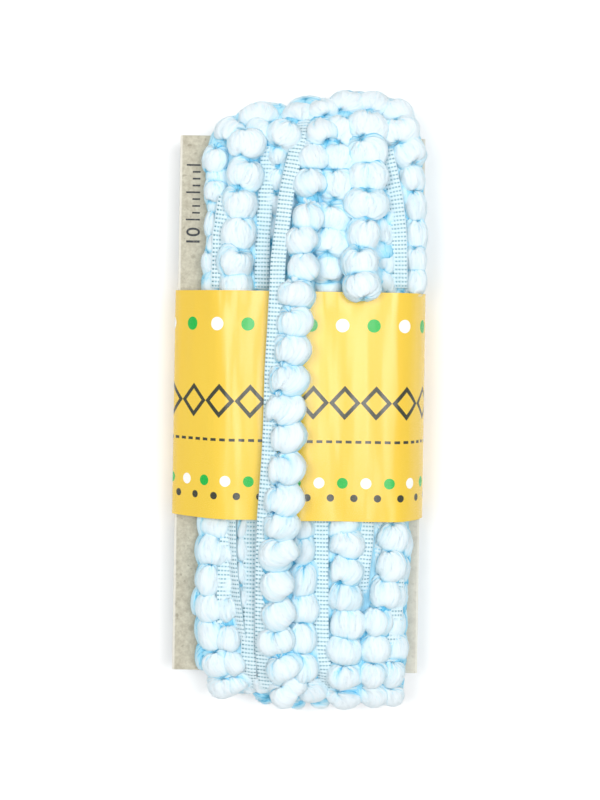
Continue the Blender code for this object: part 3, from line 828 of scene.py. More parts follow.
@dataclass(frozen=True)
class Puff:
    """One puff: its middle, the way the trim runs there and the way out, and its size."""

    middle: Array
    along: Array
    outward: Array
    width: float
    length: float
    depth: float
    pinch: float
    lifts: tuple[float, float] = (0.62, 0.62)
    flare: float = 0.0
    # Painted shade added to the puff's colour, and how much painted contact shade it takes
    shade: float = 0.0
    contact_shade_share: float = 1.0

    def axes(self) -> Array:
        """Returns its three directions as rows: across, out and along."""
        return np.array([np.cross(self.along, self.outward), self.outward, self.along])

    def halves(self) -> Array:
        """Returns its half sizes across, out and along."""
        return np.array([self.width, self.depth, self.length]) / 2


@dataclass
class PuffForm:
    """A gathered puff, modelled once, from which each puff is shaped on its own."""

    detail: Detail
    hollow: float = 0.52
    hollow_share: float = 0.97
    rib: float = 0.985
    ribs: int = 12
    form: Array = field(init=False)
    faces: list[tuple[int, ...]] = field(init=False)

    def __post_init__(self) -> None:
        """Models the form: a ball with hollowed poles and soft ribs."""
        segments, rings = self.detail.value
        sizes = {"segments": segments, "ring_count": rings, "radius": 1.0}
        ball = added(bpy.ops.mesh.primitive_uv_sphere_add, "ball", **sizes)
        step = 2 * math.pi / segments
        every = max(2, segments // self.ribs)
        with editing(ball):
            pick(ball, lambda co: math.hypot(co[0], co[1]) < self.hollow)
            self.scale((1.0, 1.0, self.hollow_share))
            pick(ball, lambda co: round(math.atan2(co[1], co[0]) / step) % every == 0)
            self.scale((self.rib, self.rib, 1.0))
        self.form, self.faces = taken(ball)

    def scale(self, shares: Row) -> None:
        """Scales what is selected, about the middle of the ball."""
        bpy.ops.transform.resize(value=shares, center_override=(0.0, 0.0, 0.0))


@dataclass
class PuffSkin:
    """The surface of one puff: a full form, drawn in to two pinches, with its own folds."""

    puff: Puff
    number: int
    chance: np.random.Generator
    boxy: float = 2.2
    dimple: float = 0.18
    dimple_reach: float = 0.30
    folds: tuple[int, int] = (16, 24)
    splits: int = 1
    # How wide and how deep a fold is, from and to, and how far it runs from its pinch
    fold: tuple[Row, Row, float] = ((0.08, 0.17), (0.03, 0.08), 1.35)
    split: tuple[Row, Row, float] = ((0.16, 0.30), (0.05, 0.14), 1.7)
    bend: float = 0.25
    uneven: float = 0.12
    flare_draw: float = 4.2
    one_sided: float = 0.15
    one_sided_reach: float = 1.15
    polar: float = 2.2
    lobe: Row = (0.045, 0.04)
    # Painted shade: how much the pinch pits, the folds and the puff's sides (rim) darken its
    # colour
    pit_shade: float = 0.85
    fold_shade: float = 2.6
    rim: float = 0.27

    def __post_init__(self) -> None:
        """Draws what makes this puff unlike the others."""
        draw = self.chance
        self.ends = np.array(self.puff.lifts) + draw.normal(0.0, self.uneven, 2)
        self.sides = self.puff.pinch + draw.normal(0.0, self.uneven, 2)
        self.lobes = draw.uniform(0.0, 2 * math.pi, 2)
        self.tilt = self.uneven * draw.standard_normal(3)
        self.drawn_in = 1.0 + self.flare_draw * abs(self.puff.flare)
        one_end = abs(self.puff.flare) > self.one_sided
        self.creases = []
        for number in range(draw.integers(*self.folds)):
            wide, deep, reach = self.split if number < self.splits else self.fold
            end = -1.0 if number % 3 == 0 and not one_end else 1.0
            place = draw.uniform(-math.pi, math.pi)
            shape = draw.uniform(*wide), draw.uniform(*deep), draw.uniform(-self.bend, self.bend)
            reach *= self.one_sided_reach if one_end else 1.0
            self.creases.append((end, place, *shape, reach))

    def creased(self, rise: Array, turn: Array) -> Array:
        """Returns how deep the folds are that fan out from the two pinches."""
        total = np.zeros_like(rise)
        for end, place, wide, deep, bend, reach in self.creases:
            from_pinch = np.arccos(np.clip(end * rise, -1.0, 1.0))
            off = turn - place - bend * from_pinch
            gap = np.abs((off + math.pi) % (2 * math.pi) - math.pi) / wide
            fades = np.exp(-((from_pinch / reach) ** 2))
            opens = 1.0 - np.exp(-((from_pinch / 0.22) ** 2))
            total += deep * np.exp(-(gap**2)) * fades * opens
        return total * self.drawn_in

    def laid(self, form: Array) -> tuple[Array, Array, Array, Array]:
        """Lays points of the puff form, or near it, on this puff.

        Args:
            form: points on or just outside the form, which is about 1 in radius.

        Returns:
            Their places in millimetres, their places among the filaments, their painted
            shade, deepest in the pits, the folds and towards the sides, and how near they
            lie to a pinch.
        """
        radius = np.linalg.norm(form, axis=1)
        rise = np.clip(form[:, 2] / radius, -1.0, 1.0)
        turn = np.arctan2(form[:, 1], form[:, 0])
        drawn = np.abs(rise) ** self.polar
        upper = rise > 0
        ball = form.copy()
        ball[:, 1] += np.where(upper, *self.ends) * drawn
        ball[:, 0] += np.where(upper, *self.sides) * drawn
        ball = unit(ball)
        from_pinch = np.arccos(np.abs(rise))
        creases = self.creased(rise, turn)
        low = np.clip(1.0 - ball[:, 1], 0.0, 2.0) ** 1.5
        pit = np.exp(-((from_pinch / self.dimple_reach) ** 2))
        size = radius + self.lobe[0] * np.cos(2 * turn + self.lobes[0])
        size += self.lobe[1] * np.cos(3 * turn + self.lobes[1] + 1.5 * rise)
        size -= self.puff.flare * rise * (1.0 - drawn)
        size -= self.dimple * self.drawn_in * pit + creases
        size *= (np.abs(ball) ** self.boxy).sum(1) ** (-1.0 / self.boxy)
        local = ball * size[:, None] * self.puff.halves()
        axes = self.puff.axes()
        axes = unit(axes + np.cross(self.tilt, axes))
        points = self.puff.middle + local @ axes
        gather = np.column_stack([np.cos(turn), np.sin(turn), self.number * 3.7 + 0.30 * rise])
        # Painted shade: the puff's own, deeper in the pits, in the folds and towards its sides
        deep = self.puff.shade + self.pit_shade * pit + self.fold_shade * creases + self.rim * low
        fan = np.exp(-((np.arccos(rise) / 1.45) ** 2)) + 0.6 * np.exp(-((from_pinch / 0.8) ** 2))
        return points, gather, deep, fan


@dataclass(frozen=True)
class Band:
    """The glossy paper band: its middle line round the winding, and its two edges."""

    bottom_y: float = -41.3
    top_y: float = 38.7
    paper: float = 0.36
    rows: int = 24
    line_points: int = 220
    table_gap: float = 0.05
    front_z: Row = (22.0, 31.0)
    middle_y: float = -1.3
    half_reach: float = 42.0
    edge_y: Row = (30.0, 40.0)
    line: tuple[Row, ...] = (
        (44.8, 13.0), (44.8, 18.0), (43.0, 23.2), (39.6, 28.6), (35.0, 31.5), (26.0, 32.1),
        (13.0, 31.7), (0.0, 32.1), (-13.0, 31.7), (-24.0, 31.6), (-30.0, 30.0), (-37.2, 24.6),
        (-44.8, 17.8), (-44.8, 13.2), (-40.2, 8.2), (-34.0, 2.3), (-29.0, 0.5), (33.0, 0.5),
        (38.6, 2.6), (42.6, 8.0),
    )

    def height(self, x: Array) -> Array:
        """Returns the height of the paper's middle on the front."""
        front = np.array(self.line[1:13])[::-1]
        return np.interp(x, front[:, 0], front[:, 1])

    def meets(self, points: Array, clear: float) -> Array:
        """Returns which points lie between the band's edges, or closer to them than a gap."""
        return (points[:, 1] > self.bottom_y - clear) & (points[:, 1] < self.top_y + clear)

    def press(self, points: Array, clear: float) -> Array:
        """Keeps the turns under the band clear of it, as it presses them down."""
        under = self.meets(points, clear)
        highest = np.where(under, self.height(points[:, 0]) - clear, np.inf)
        lowest = np.where(under, self.line[-3][1] + clear, self.table_gap)
        points[:, 2] = np.maximum(np.minimum(points[:, 2], highest), lowest)
        return points

    def carry(self, points: Array, clear: float) -> Array:
        """Keeps the last turn on top of the band where it crosses it."""
        lowest = np.where(self.meets(points, clear), self.height(points[:, 0]) + clear, -np.inf)
        points[:, 2] = np.maximum(points[:, 2], lowest)
        return points

    def smooth_line(self) -> Array:
        """Returns the closed middle line with its corners rounded, evenly spaced."""
        line = np.array(self.line)
        for _ in range(3):
            ahead = np.roll(line, -1, axis=0)
            line = np.stack([0.8 * line + 0.2 * ahead, 0.2 * line + 0.8 * ahead], axis=1)
            line = line.reshape(-1, 2)
        closed = np.vstack([line, line[:1]])
        lengths = lengths_along(closed)
        places = np.linspace(0.0, lengths[-1], self.line_points, endpoint=False)
        return read_at(places, lengths, closed)

    def build(self, finish: PaperFinish) -> Item:
        """Models the paper: its line as a ring of edges, extruded along the trim.

        Args:
            finish: the printed paper.

        Returns:
            The band, dressed.
        """
        circle = bpy.ops.mesh.primitive_circle_add
        band = added(circle, "printed_band", vertices=self.line_points, radius=1.0)
        line = self.smooth_line()
        ring = np.column_stack([line[:, 0], np.full(len(line), self.bottom_y), line[:, 1]]) * MM
        move_corners(band, ring)
        step = {"value": (0.0, (self.top_y - self.bottom_y) / self.rows * MM, 0.0)}
        with editing(band):
            for _ in range(self.rows):
                bpy.ops.mesh.extrude_edges_move(TRANSFORM_OT_translate=step)
            select_all()
            bpy.ops.mesh.normals_make_consistent(inside=False)
        self.map_paper(band)
        self.ripple(band)
        thicken(band, self.paper * MM)
        smooth(band, 40.0)
        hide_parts("label_band")
        return dress(band, finish.material())

    def map_paper(self, band: Item) -> None:
        """Gives the band its UV map, in millimetres round its line and along the trim."""
        line = self.smooth_line()
        lengths = lengths_along(np.vstack([line, line[:1]]))
        whole = lengths[-1]
        behind = line[:, 1] < self.front_z[1] - 2.0
        middle = int(np.argmin(np.abs(line[:, 0]) + 100.0 * behind))
        places, corners = corners_of(band) / MM, corners_round(band)
        nearest = [int(np.argmin(((line - place[[0, 2]]) ** 2).sum(axis=1))) for place in places]
        found = (lengths[middle] - lengths)[nearest][corners].reshape(-1, 4)
        torn = found.max(axis=1, keepdims=True) - found > whole / 2
        found = found + torn * whole
        add_uv(band, "paper", np.column_stack([found.ravel(), places[corners][:, 1]]))

    def ripple(self, band: Item) -> None:
        """Lets the front of the paper rise and dip a little over the turns beneath it."""
        places = corners_of(band) / MM
        x, y, z = places.T
        front = smooth_step(z, *self.front_z)
        wave = 0.22 * np.sin(x * 0.42 + 0.6 + y * 0.012) + 0.16 * np.sin(x * 0.23 - y * 0.03)
        wave += 0.14 * np.sin(x * 0.71 + y * 0.045) * np.cos(y * 0.06)
        edge = smooth_step(np.abs(y - self.middle_y), *self.edge_y)
        places[:, 2] += front * (wave * 0.8 + 0.25 * edge * np.sin(x * 0.55 + 1.0))
        move_corners(band, places * MM)


@dataclass
class Winding:
    """The turns of trim round the card: every puff's place, and the pieces made of them."""

    seed: int = 20
    middle_z: float = 16.0
    straight_y: float = 88.0
    front_z: float = 27.4
    back_z: float = 4.9
    pitch: float = 9.5
    full_width: float = 10.6
    fullness: tuple[float, float] = (1.11, 1.29)
    most_depth: float = 9.8
    inner_drop: float = 3.2
    inner_shade: float = 0.20
    crest_shade: float = 0.10
    crest_light: float = 0.12
    tape_room: float = 5.4
    tape_gap: float = 1.0
    inner_lanes: tuple[Row, ...] = (
        # x, and how much lower than the others
        (-25.5, 5.5), (-19.5, 1.0), (-12.0, 0.0), (-4.5, 0.0), (3.0, 0.0), (10.5, 0.0),
        (18.0, 0.0), (25.5, 0.0), (33.5, 0.6),
    )
    inner_width: float = 10.4
    inner_ends: Row = (52.0, 18.0, -18.0, -52.0)
    inner_stop: float = 30.0
    back_x: tuple[Row, ...] = (
        # at the top crest, at the bottom crest
        (-24.5, -25.0), (-18.8, -18.0), (-8.6, -9.6), (2.0, -1.0), (12.0, 8.4),
        (21.6, 17.6), (30.6, 27.0), (35.4, 34.0),
    )
    back_stops: tuple[float, float] = (40.0, -42.0)
    back_ends: Row = (-14.0, -52.0)
    first_y: float = 92.0
    reach_x: tuple[float, ...] = (-30.0, -22.0, -14.0, 0.0, 17.0, 30.0, 38.0)
    reach_top: tuple[float, ...] = (94.0, 98.0, 100.8, 101.8, 104.2, 102.0, 97.0)
    reach_bottom: tuple[float, ...] = (99.2, 99.8, 103.2, 104.0, 104.0, 104.0, 102.0)
    flank_x: tuple[Row, ...] = ((-29.4, -31.8), (39.2, 33.4))
    flank_z: tuple[float, float] = (20.4, 10.2)
    flank_width: float = 7.8
    flank_stop: float = 42.0
    flank_shade: float = 0.16
    crest_turn: float = 0.8
    crest_y: Row = (91.0, 99.0)
    flare: float = 0.17
    most_flare: float = 1.7
    depth_share: float = 0.55
    depth_more: float = 3.4
    least_depth: float = 6.0
    turn_jitter: float = 4.0
    pinch_jitter: float = 0.18
    side_jitter: float = 0.5
    neck_reach: float = 1.6
    neck: float = 0.60
    neck_length: float = 0.80
    neck_drop: float = 0.9
    neck_shade: float = 0.36

    def __post_init__(self) -> None:
        """Starts the draws of chance and the list of necks between puffs."""
        self.chance = np.random.default_rng(self.seed)
        self.necks: list[Puff] = []
        self.tapes = np.vstack([run_of(rows, self) for rows in TAPE_RUNS.values()])[:, :3]

    def reach(self, x: float, sign: float) -> float:
        """Returns how far the turns' middle reaches at the top (1) or bottom (-1) end."""
        table = self.reach_top if sign > 0 else self.reach_bottom
        return float(np.interp(x, self.reach_x, table))

    def outward_at(self, point: Array) -> Array:
        """Returns the way out of the winding at a point."""
        inner = np.clip(point[1], -self.straight_y, self.straight_y)
        if abs(point[1]) <= self.straight_y:
            return np.array([0.0, 0.0, 1.0 if point[2] > self.middle_z else -1.0])
        return unit(np.array([0.0, point[1] - inner, point[2] - self.middle_z]))

    def laid(
        self,
        rows: Sequence[Row],
        pinch: float | Sequence[float],
        lean: float,
        roof: float = 0.0,
        lifts: tuple[float, float] = (0.62, 0.62),
    ) -> list[Puff]:
        """Turns rows of places and sizes into puffs.

        Args:
            rows: x, y, z, width and length of each puff, in the order of the trim.
            pinch: how far the pinches sit off the middle, as a share of the half width, for
                all of them or for each.
            lean: how far the puffs turn on the trim, in degrees.
            roof: how far they lie over the next one like roof tiles, in degrees.
            lifts: how far the upper and the lower pinch are drawn outwards.

        Returns:
            The puffs.
        """
        places = np.array(rows)[:, :3]
        ways = np.gradient(places, axis=0) if len(places) > 1 else np.array([[0.0, 0.4, -1.0]])
        puffs = []
        offsets = np.broadcast_to(pinch, len(rows))
        for row, place, way, offset in zip(rows, places, unit(ways), offsets):
            outward = self.outward_at(place)
            outward = unit(outward + [0.0, 0.0, math.copysign(self.crest_turn, outward[2])])
            along = unit(way - outward * (way @ outward))
            along = along if along @ np.array([0.0, 1.0, 0.0]) * outward[2] >= 0 else -along
            across = np.cross(along, outward)
            turn = math.radians(lean + self.turn_jitter * self.chance.standard_normal())
            along = unit(along * math.cos(turn) - across * math.sin(turn))
            over = math.radians(roof + self.turn_jitter * self.chance.standard_normal())
            along, outward = (
                unit(along * math.cos(over) - outward * math.sin(over)),
                unit(outward * math.cos(over) + along * math.sin(over)),
            )
            depth = self.depth_share * row[3] + self.depth_more
            depth = float(np.clip(depth, self.least_depth, self.most_depth))
            shift = float(offset) + self.pinch_jitter * self.chance.standard_normal()
            wide, long = row[3] * self.fullness[0], row[4] * self.fullness[1]
            faces = float(np.clip(outward[2], 0.0, 1.0)) ** 2
            raised = (lifts[0] * faces, lifts[1] * faces)
            flare = self.flare * min(lifts[0] - lifts[1], self.most_flare)
            crest = float(smooth_step(abs(place[1]), *self.crest_y))
            # At the crest the puffs get painted light and only half the painted contact shade
            looks = (flare, -self.crest_light * crest, 1.0 - 0.5 * crest)
            puffs.append(Puff(place, along, outward, wide, long, depth, shift, raised, *looks))
        self.join(puffs)
        return puffs

    def join(self, puffs: Sequence[Puff]) -> None:
        """Keeps the gathered roving that runs on from each puff to the next."""
        for first, second in zip(puffs[:-1], puffs[1:]):
            way = second.middle - first.middle
            span = float(np.linalg.norm(way))
            if span > self.neck_reach * self.pitch:
                continue
            outward = unit(first.outward + second.outward)
            along = unit(way - outward * (way @ outward))
            middle = (first.middle + second.middle) / 2 - outward * self.neck_drop
            wide = self.neck * min(first.width, second.width)
            deep = self.neck * min(first.depth, second.depth)
            shift = (first.pinch + second.pinch) * wide / 6
            middle = middle + shift * np.cross(along, outward)
            sizes = (wide, self.neck_length * span, deep)
            looks = {"pinch": 0.0, "lifts": (0.0, 0.0), "shade": self.neck_shade}
            self.necks.append(Puff(middle, along, outward, *sizes, **looks))

    def end_rows(self, x: float, sign: float, inset: float, turns: Sequence[float]) -> list[Row]:
        """Returns rows round one end, at angles in degrees from the front (90) to the back."""
        depth = self.reach(x, sign) - inset - self.straight_y
        rows = []
        for degrees in turns:
            turn = math.radians(degrees + 5.0 * self.chance.standard_normal())
            y = sign * (self.straight_y + depth * math.cos(turn))
            z = self.middle_z + (self.middle_z - self.back_z - inset) * math.sin(turn)
            off = self.side_jitter * self.chance.standard_normal()
            rows.append((x + off, y, z, self.full_width, self.pitch))
        return rows

    def straight_rows(
        self, ends_x: Row, z: float, first: float, stop: float, width: float
    ) -> list[Row]:
        """Returns rows down a straight run.

        Args:
            ends_x: x at the top crest and at the bottom crest.
            z: the height.
            first: y of the first puff.
            stop: y where the run ends.
            width: the puffs' width.

        Returns:
            The rows.
        """
        rows = []
        y = first
        while (stop - y) * (stop - first) > 0:
            share = (self.straight_y - y) / (2 * self.straight_y)
            x = ends_x[0] + (ends_x[1] - ends_x[0]) * share
            jitter = self.chance.standard_normal(3)
            size = width * (1.0 + 0.07 * jitter[2])
            x += self.side_jitter * jitter[0]
            rows.append((x, y, z + 0.35 * jitter[1], size, self.pitch * 1.04))
            y += math.copysign(self.pitch * (1 + 0.04 * jitter[0]), stop - first)
        return rows

    def front_puffs(self) -> list[Puff]:
        """Returns the puffs of the outer turns that show on the front."""
        leans = {"fourth": 6.0, "second": 3.0, "sixth": 8.0}
        pinches = {"outer_left": 0.32, "second": 0.0, "third": 0.0}
        puffs = []
        for rows in TOP_ROWS.values():
            puffs += self.laid(rows, -0.1, 0.0)
        for row in FAR_CREST_ROWS:
            puffs += self.laid((row,), 0.0, 0.0)
        for name, rows in BOTTOM_ROWS.items():
            pinch = pinches.get(name, -0.36)
            puffs += self.laid(rows, pinch, leans.get(name, 0.0), 12.0, (1.1, -0.3))
        return puffs

    def back_puffs(self) -> list[Puff]:
        """Returns the puffs round the ends, behind the crest, and down the back."""
        puffs = []
        for ends_x in self.back_x:
            start = 0.0
            for sign, x, stop in zip((1.0, -1.0), ends_x, self.back_stops):
                rows = self.end_rows(x, sign, 0.0, self.back_ends)
                start = -start or self.straight_y - 2.0 * self.chance.uniform()
                rows += self.straight_rows(ends_x, self.back_z, start, stop, self.full_width)
                puffs += self.laid(rows, 0.2, 4.0)
        return puffs

    def inner_puffs(self) -> list[Puff]:
        """Returns the puffs of the turns below, which show between the outer ones."""
        puffs = []
        kept = len(self.necks)
        for x, lower in self.inner_lanes:
            drop = self.inner_drop + lower
            for sign in (1.0, -1.0):
                start = sign * (self.first_y - 4.0 * self.chance.uniform())
                runs = [
                    self.straight_rows((x, x), z, start, sign * self.inner_stop, self.inner_width)
                    for z in (self.front_z - drop, self.back_z + drop)
                ]
                runs.append(self.end_rows(x, sign, drop, self.inner_ends))
                for rows in runs:
                    puffs += self.laid(rows, 0.0, 0.0)
        del self.necks[kept:]
        return [self.lowered(puff) for puff in puffs]

    def lowered(self, puff: Puff) -> Puff:
        """Returns an inner puff, pressed down where a tape lies over it."""
        middle = puff.middle.copy()
        if middle[2] > self.middle_z:
            near = np.abs(self.tapes[:, :2] - middle[:2]).max(axis=1) < self.tape_room
            if near.any():
                top = self.tapes[near, 2].min() - self.tape_gap
                middle[2] = min(middle[2], top - puff.depth / 2)
        shade = self.inner_shade if abs(middle[1]) < self.straight_y else self.crest_shade
        return replace(puff, shade=shade, middle=middle)

    def flank_puffs(self) -> list[Puff]:
        """Returns the puffs of the inner turns that bulge out of the two long sides."""
        puffs = []
        for ends_x in self.flank_x:
            for z in self.flank_z:
                for sign in (1.0, -1.0):
                    start = sign * (self.first_y - 3.0 * self.chance.uniform())
                    stop = sign * self.flank_stop
                    rows = self.straight_rows(ends_x, z, start, stop, self.flank_width)
                    puffs += self.laid(rows, 0.0, 0.0)
        return [replace(puff, shade=self.flank_shade) for puff in puffs]


@dataclass
class PuffBed:
    """Puffs joined into one piece, with painted shade where they press on their neighbours."""

    name: str
    form: PuffForm
    puffs: Sequence[Puff]
    skins: list[PuffSkin] = field(default_factory=list)
    bridge: float = 2.4
    neighbours: float = 14.0
    press_shade: float = 0.62
    press_reach: Row = (-1.17, -0.90)
    near_shade: float = 0.07
    near_reach: Row = (-1.75, -1.0)

    def pressed(
        self, points: Array, puff: Puff, others: Sequence[Puff]
    ) -> tuple[Array, Array]:
        """Lets a puff swell a little where it meets its neighbours, as fibres bridge the gap.

        Args:
            points: the puff's points.
            puff: the puff.
            others: the puffs round it.

        Returns:
            The swollen points, and the painted shade at each from the puffs round it, from 0 to 1.
        """
        light = np.ones(len(points))
        swell = np.zeros(len(points))
        for other in others:
            if other is puff:
                continue
            local = (points - other.middle) @ other.axes().T / other.halves()
            away = np.linalg.norm(local, axis=1)
            light *= 1.0 - self.press_shade * smooth_step(-away, *self.press_reach)
            light *= 1.0 - self.near_shade * smooth_step(-away, *self.near_reach)
            gap = np.abs(away - 1.0) * other.halves().mean()
            swell = np.maximum(swell, np.clip(1.0 - gap / self.bridge, 0.0, 1.0) ** 2)
        outward = unit(points - puff.middle)
        return points + outward * (swell * self.bridge / 4)[:, None], 1.0 - light

    def build(
        self,
        everyone: Sequence[Puff],
        settle: Callable[[Array], Array],
        chance: np.random.Generator,
    ) -> Item:
        """Joins the puffs.

        Args:
            everyone: all puffs that may press on these.
            settle: moves points clear of the band and the table.
            chance: where the folds come from.

        Returns:
            The piece, not yet dressed.
        """
        middles = np.array([puff.middle for puff in everyone])
        parts, gathers, shades, fans = [], [], [], []
        for number, puff in enumerate(self.puffs):
            skin = PuffSkin(puff, number, chance)
            self.skins.append(skin)
            shaped, gather, folds, fan = skin.laid(self.form.form)
            near = np.linalg.norm(middles - puff.middle, axis=1) < self.neighbours
            others = [everyone[index] for index in np.flatnonzero(near)]
            shaped, press = self.pressed(shaped, puff, others)
            parts.append((settle(shaped), self.form.faces))
            gathers.append(gather)
            fans.append(fan)
            # Painted shade: the puff's own, deepened where its neighbours press on it
            shades.append(1.0 - (1.0 - np.clip(folds, 0, 1)) * (1.0 - press * puff.contact_shade_share))
        piece = mesh_piece(self.name, parts)
        add_looks(piece, np.concatenate(shades), np.vstack(gathers), np.concatenate(fans))
        return piece


@dataclass
class StrayFibres:
    """Short fibres that stand a little proud of the puffs and soften their outlines."""

    each: int = 60
    steps: int = 3
    radius: float = 0.042
    tapers: Row = (1.0, 0.85, 0.35)
    spread: Row = (-0.4, 3.54)
    reach: Row = (0.30, 0.95)
    proud: Row = (0.02, 0.15)

    def __post_init__(self) -> None:
        """Models one fibre: a small triangle, extruded and narrowed to a fine end."""
        sizes = {"vertices": 3, "radius": 1.0, "fill_type": "NGON"}
        fibre = added(bpy.ops.mesh.primitive_circle_add, "fibre", **sizes)
        with editing(fibre):
            for number, taper in enumerate(self.tapers):
                move, end = {"value": (0.0, 0.0, 1.0)}, (0.0, 0.0, number + 1.0)
                bpy.ops.mesh.extrude_region_move(TRANSFORM_OT_translate=move)
                bpy.ops.transform.resize(value=(taper, taper, 1.0), center_override=end)
            select_all()
            bpy.ops.mesh.normals_make_consistent(inside=False)
        self.form, faces = taken(fibre)
        count = len(self.form)
        self.faces = [
            tuple(corner + number * count for corner in face)
            for number in range(self.each)
            for face in faces
        ]
        self.parts: list[Mesh] = []
        self.gathers: list[Array] = []

    def grow(self, skin: PuffSkin, chance: np.random.Generator) -> None:
        """Grows fibres on the outer side of one puff, along its filaments."""
        rings = self.steps + 1
        share = np.linspace(0.0, 1.0, rings)
        start = chance.uniform(0.45, math.pi - 0.45, (self.each, 1))
        sign = chance.choice((-1.0, 1.0), (self.each, 1))
        end = start + sign * chance.uniform(*self.reach, (self.each, 1))
        polar = start + (end - start) * share
        turn = chance.uniform(*self.spread, (self.each, 1))
        turn = turn + chance.normal(0.0, 0.16, (self.each, 1)) * share
        out = 1.0 + 0.004 + chance.uniform(*self.proud, (self.each, 1)) * share**2
        around = np.stack([np.cos(turn), np.sin(turn)]) * np.sin(polar) * out
        form = np.stack([around[0], around[1], np.cos(polar) * out], axis=-1).reshape(-1, 3)
        places, gather, _, _ = skin.laid(form)
        path = places.reshape(self.each, rings, 3)
        way = unit(np.gradient(path, axis=1).reshape(-1, 3))
        normal = unit(places - skin.puff.middle)
        side = unit(np.cross(way, normal))
        ring = np.round(self.form[:, 2]).astype(int)
        at = (np.arange(self.each)[:, None] * rings + ring).ravel()
        shape = np.tile(self.form[:, :2] * self.radius, (self.each, 1))
        points = places[at] + shape[:, :1] * normal[at] + shape[:, 1:] * side[at]
        self.parts.append((points, self.faces))
        self.gathers.append(gather[at])

    def build(self, name: str) -> Item:
        """Joins the fibres into one piece, not yet dressed."""
        piece = mesh_piece(name, self.parts)
        plain = np.zeros(len(piece.data.vertices))
        add_looks(piece, plain, np.vstack(self.gathers), plain)
        return piece


@dataclass
class HeadingTape:
    """Knotted heading tape: wales and paired wefts with a row of slots between them."""

    wale: float = 1.08
    weft: float = 1.45
    wales: int = 5
    inset: float = 0.155
    squeeze: float = 0.355
    thread: float = 0.26
    crown: float = 0.16
    scallop: float = 0.035
    droop: float = 0.30
    # The dark strip behind the slots is painted shade: its drop below the threads, inset and
    # thickness
    slot_shade_drop: float = 0.20
    slot_shade_inset: float = 0.4
    slot_shade_thickness: float = 0.12

    def sheet(self, wide: int, long: int) -> Item:
        """Returns a flat grid of one unit square, with a number of faces each way."""
        sizes = {"x_subdivisions": wide, "y_subdivisions": long, "size": 1.0}
        return added(bpy.ops.mesh.primitive_grid_add, "sheet", **sizes)

    def strip(self, rows: int) -> Item:
        """Models a flat strip: a grid whose faces are inset, opened and given thickness."""
        strip = self.sheet(self.wales, rows)
        sizes = np.array([self.wales * self.wale, rows * self.weft * self.squeeze, 1.0])
        move_corners(strip, corners_of(strip) * sizes)
        with editing(strip):
            bpy.ops.mesh.inset(thickness=self.inset, use_individual=True)
            bpy.ops.mesh.delete(type="ONLY_FACE")
        places = corners_of(strip)
        places[:, 1] /= self.squeeze
        wale = places[:, 0] / self.wale + self.wales / 2
        off_wale = np.abs(wale - np.round(wale)) * 2
        weft = places[:, 1] / self.weft
        off_weft = np.abs(weft - np.round(weft)) * 2
        places[:, 2] = self.crown * (1.0 - off_wale) + 0.5 * self.crown * (1.0 - off_weft)
        outer = np.abs(places[:, 0]) > self.wales * self.wale / 2 - 0.01
        waves = np.cos(places[outer, 1] * 2 * math.pi / self.weft)
        places[outer, 0] *= 1.0 + self.scallop * waves
        move_corners(strip, places)
        thicken(strip, self.thread)
        return strip

    def slot_shade(self, rows: int) -> Item:
        """Models the plain strip behind the slots, painted dark as their shade."""
        slot_shade = self.sheet(3, rows)
        sizes = np.array([self.wales * self.wale - self.slot_shade_inset, rows * self.weft, 1.0])
        places = corners_of(slot_shade) * sizes
        places[:, 2] -= self.slot_shade_drop
        move_corners(slot_shade, places)
        thicken(slot_shade, self.slot_shade_thickness, -1.0)
        return slot_shade

    def lay(self, flat: Array, route: Array) -> Array:
        """Bends a flat strip along a route.

        Args:
            flat: the flat strip's points, in millimetres.
            route: points of the tape's middle, with the way out at each: six numbers.

        Returns:
            The strip's points along the route.
        """
        lengths = lengths_along(route[:, :3])
        first, last = flat[:, 1].min(), flat[:, 1].max()
        at = (flat[:, 1] - first) / (last - first) * lengths[-1]
        middle = read_at(at, lengths, route[:, :3])
        ways = unit(read_at(at, lengths, np.gradient(route[:, :3], axis=0)))
        wanted = read_at(at, lengths, route[:, 3:])
        across = unit(np.cross(ways, unit(wanted)))
        across *= np.where(across[:, :1] < 0, -1.0, 1.0)
        outward = np.cross(across, ways)
        outward *= np.where((outward * wanted).sum(1, keepdims=True) < 0, -1.0, 1.0)
        lift = flat[:, 2] + self.droop * np.minimum(flat[:, 0] - 1.0, 0.0)
        return middle + across * flat[:, :1] + outward * lift[:, None]


@dataclass
class TapeBed:
    """Runs of heading tape joined into one piece, and the painted shade behind their slots."""

    name: str
    tape: HeadingTape
    least_rows: int = 4

    def __post_init__(self) -> None:
        """Starts with no runs."""
        # The painted-shade strip behind the slots, and the tape's threads
        self.layers = {"_ground": self.tape.slot_shade, "": self.tape.strip}
        self.parts: dict[str, list[Mesh]] = {layer: [] for layer in self.layers}
        self.flats: dict[str, list[Array]] = {layer: [] for layer in self.layers}

    def add(self, route: Array) -> None:
        """Lays one run of tape along a route of points and ways out."""
        length = lengths_along(route[:, :3])[-1]
        rows = max(self.least_rows, round(length / self.tape.weft))
        for layer, model in self.layers.items():
            flat, faces = taken(model(rows))
            self.parts[layer].append((self.tape.lay(flat, route), faces))
            self.flats[layer].append(flat[:, :2])

    def build(self, finish: TapeFinish, slot_shade: SlotShadeFinish) -> Item:
        """Joins the runs.

        Args:
            finish: the tape's thread.
            slot_shade: the painted shade that shows in its slots.

        Returns:
            The tape, dressed.
        """
        for (layer, parts), look in zip(self.parts.items(), (slot_shade, finish)):
            piece = mesh_piece(self.name + layer, parts)
            add_uv(piece, "tape", np.vstack(self.flats[layer])[corners_round(piece)])
            dress(piece, look.material())
        return piece


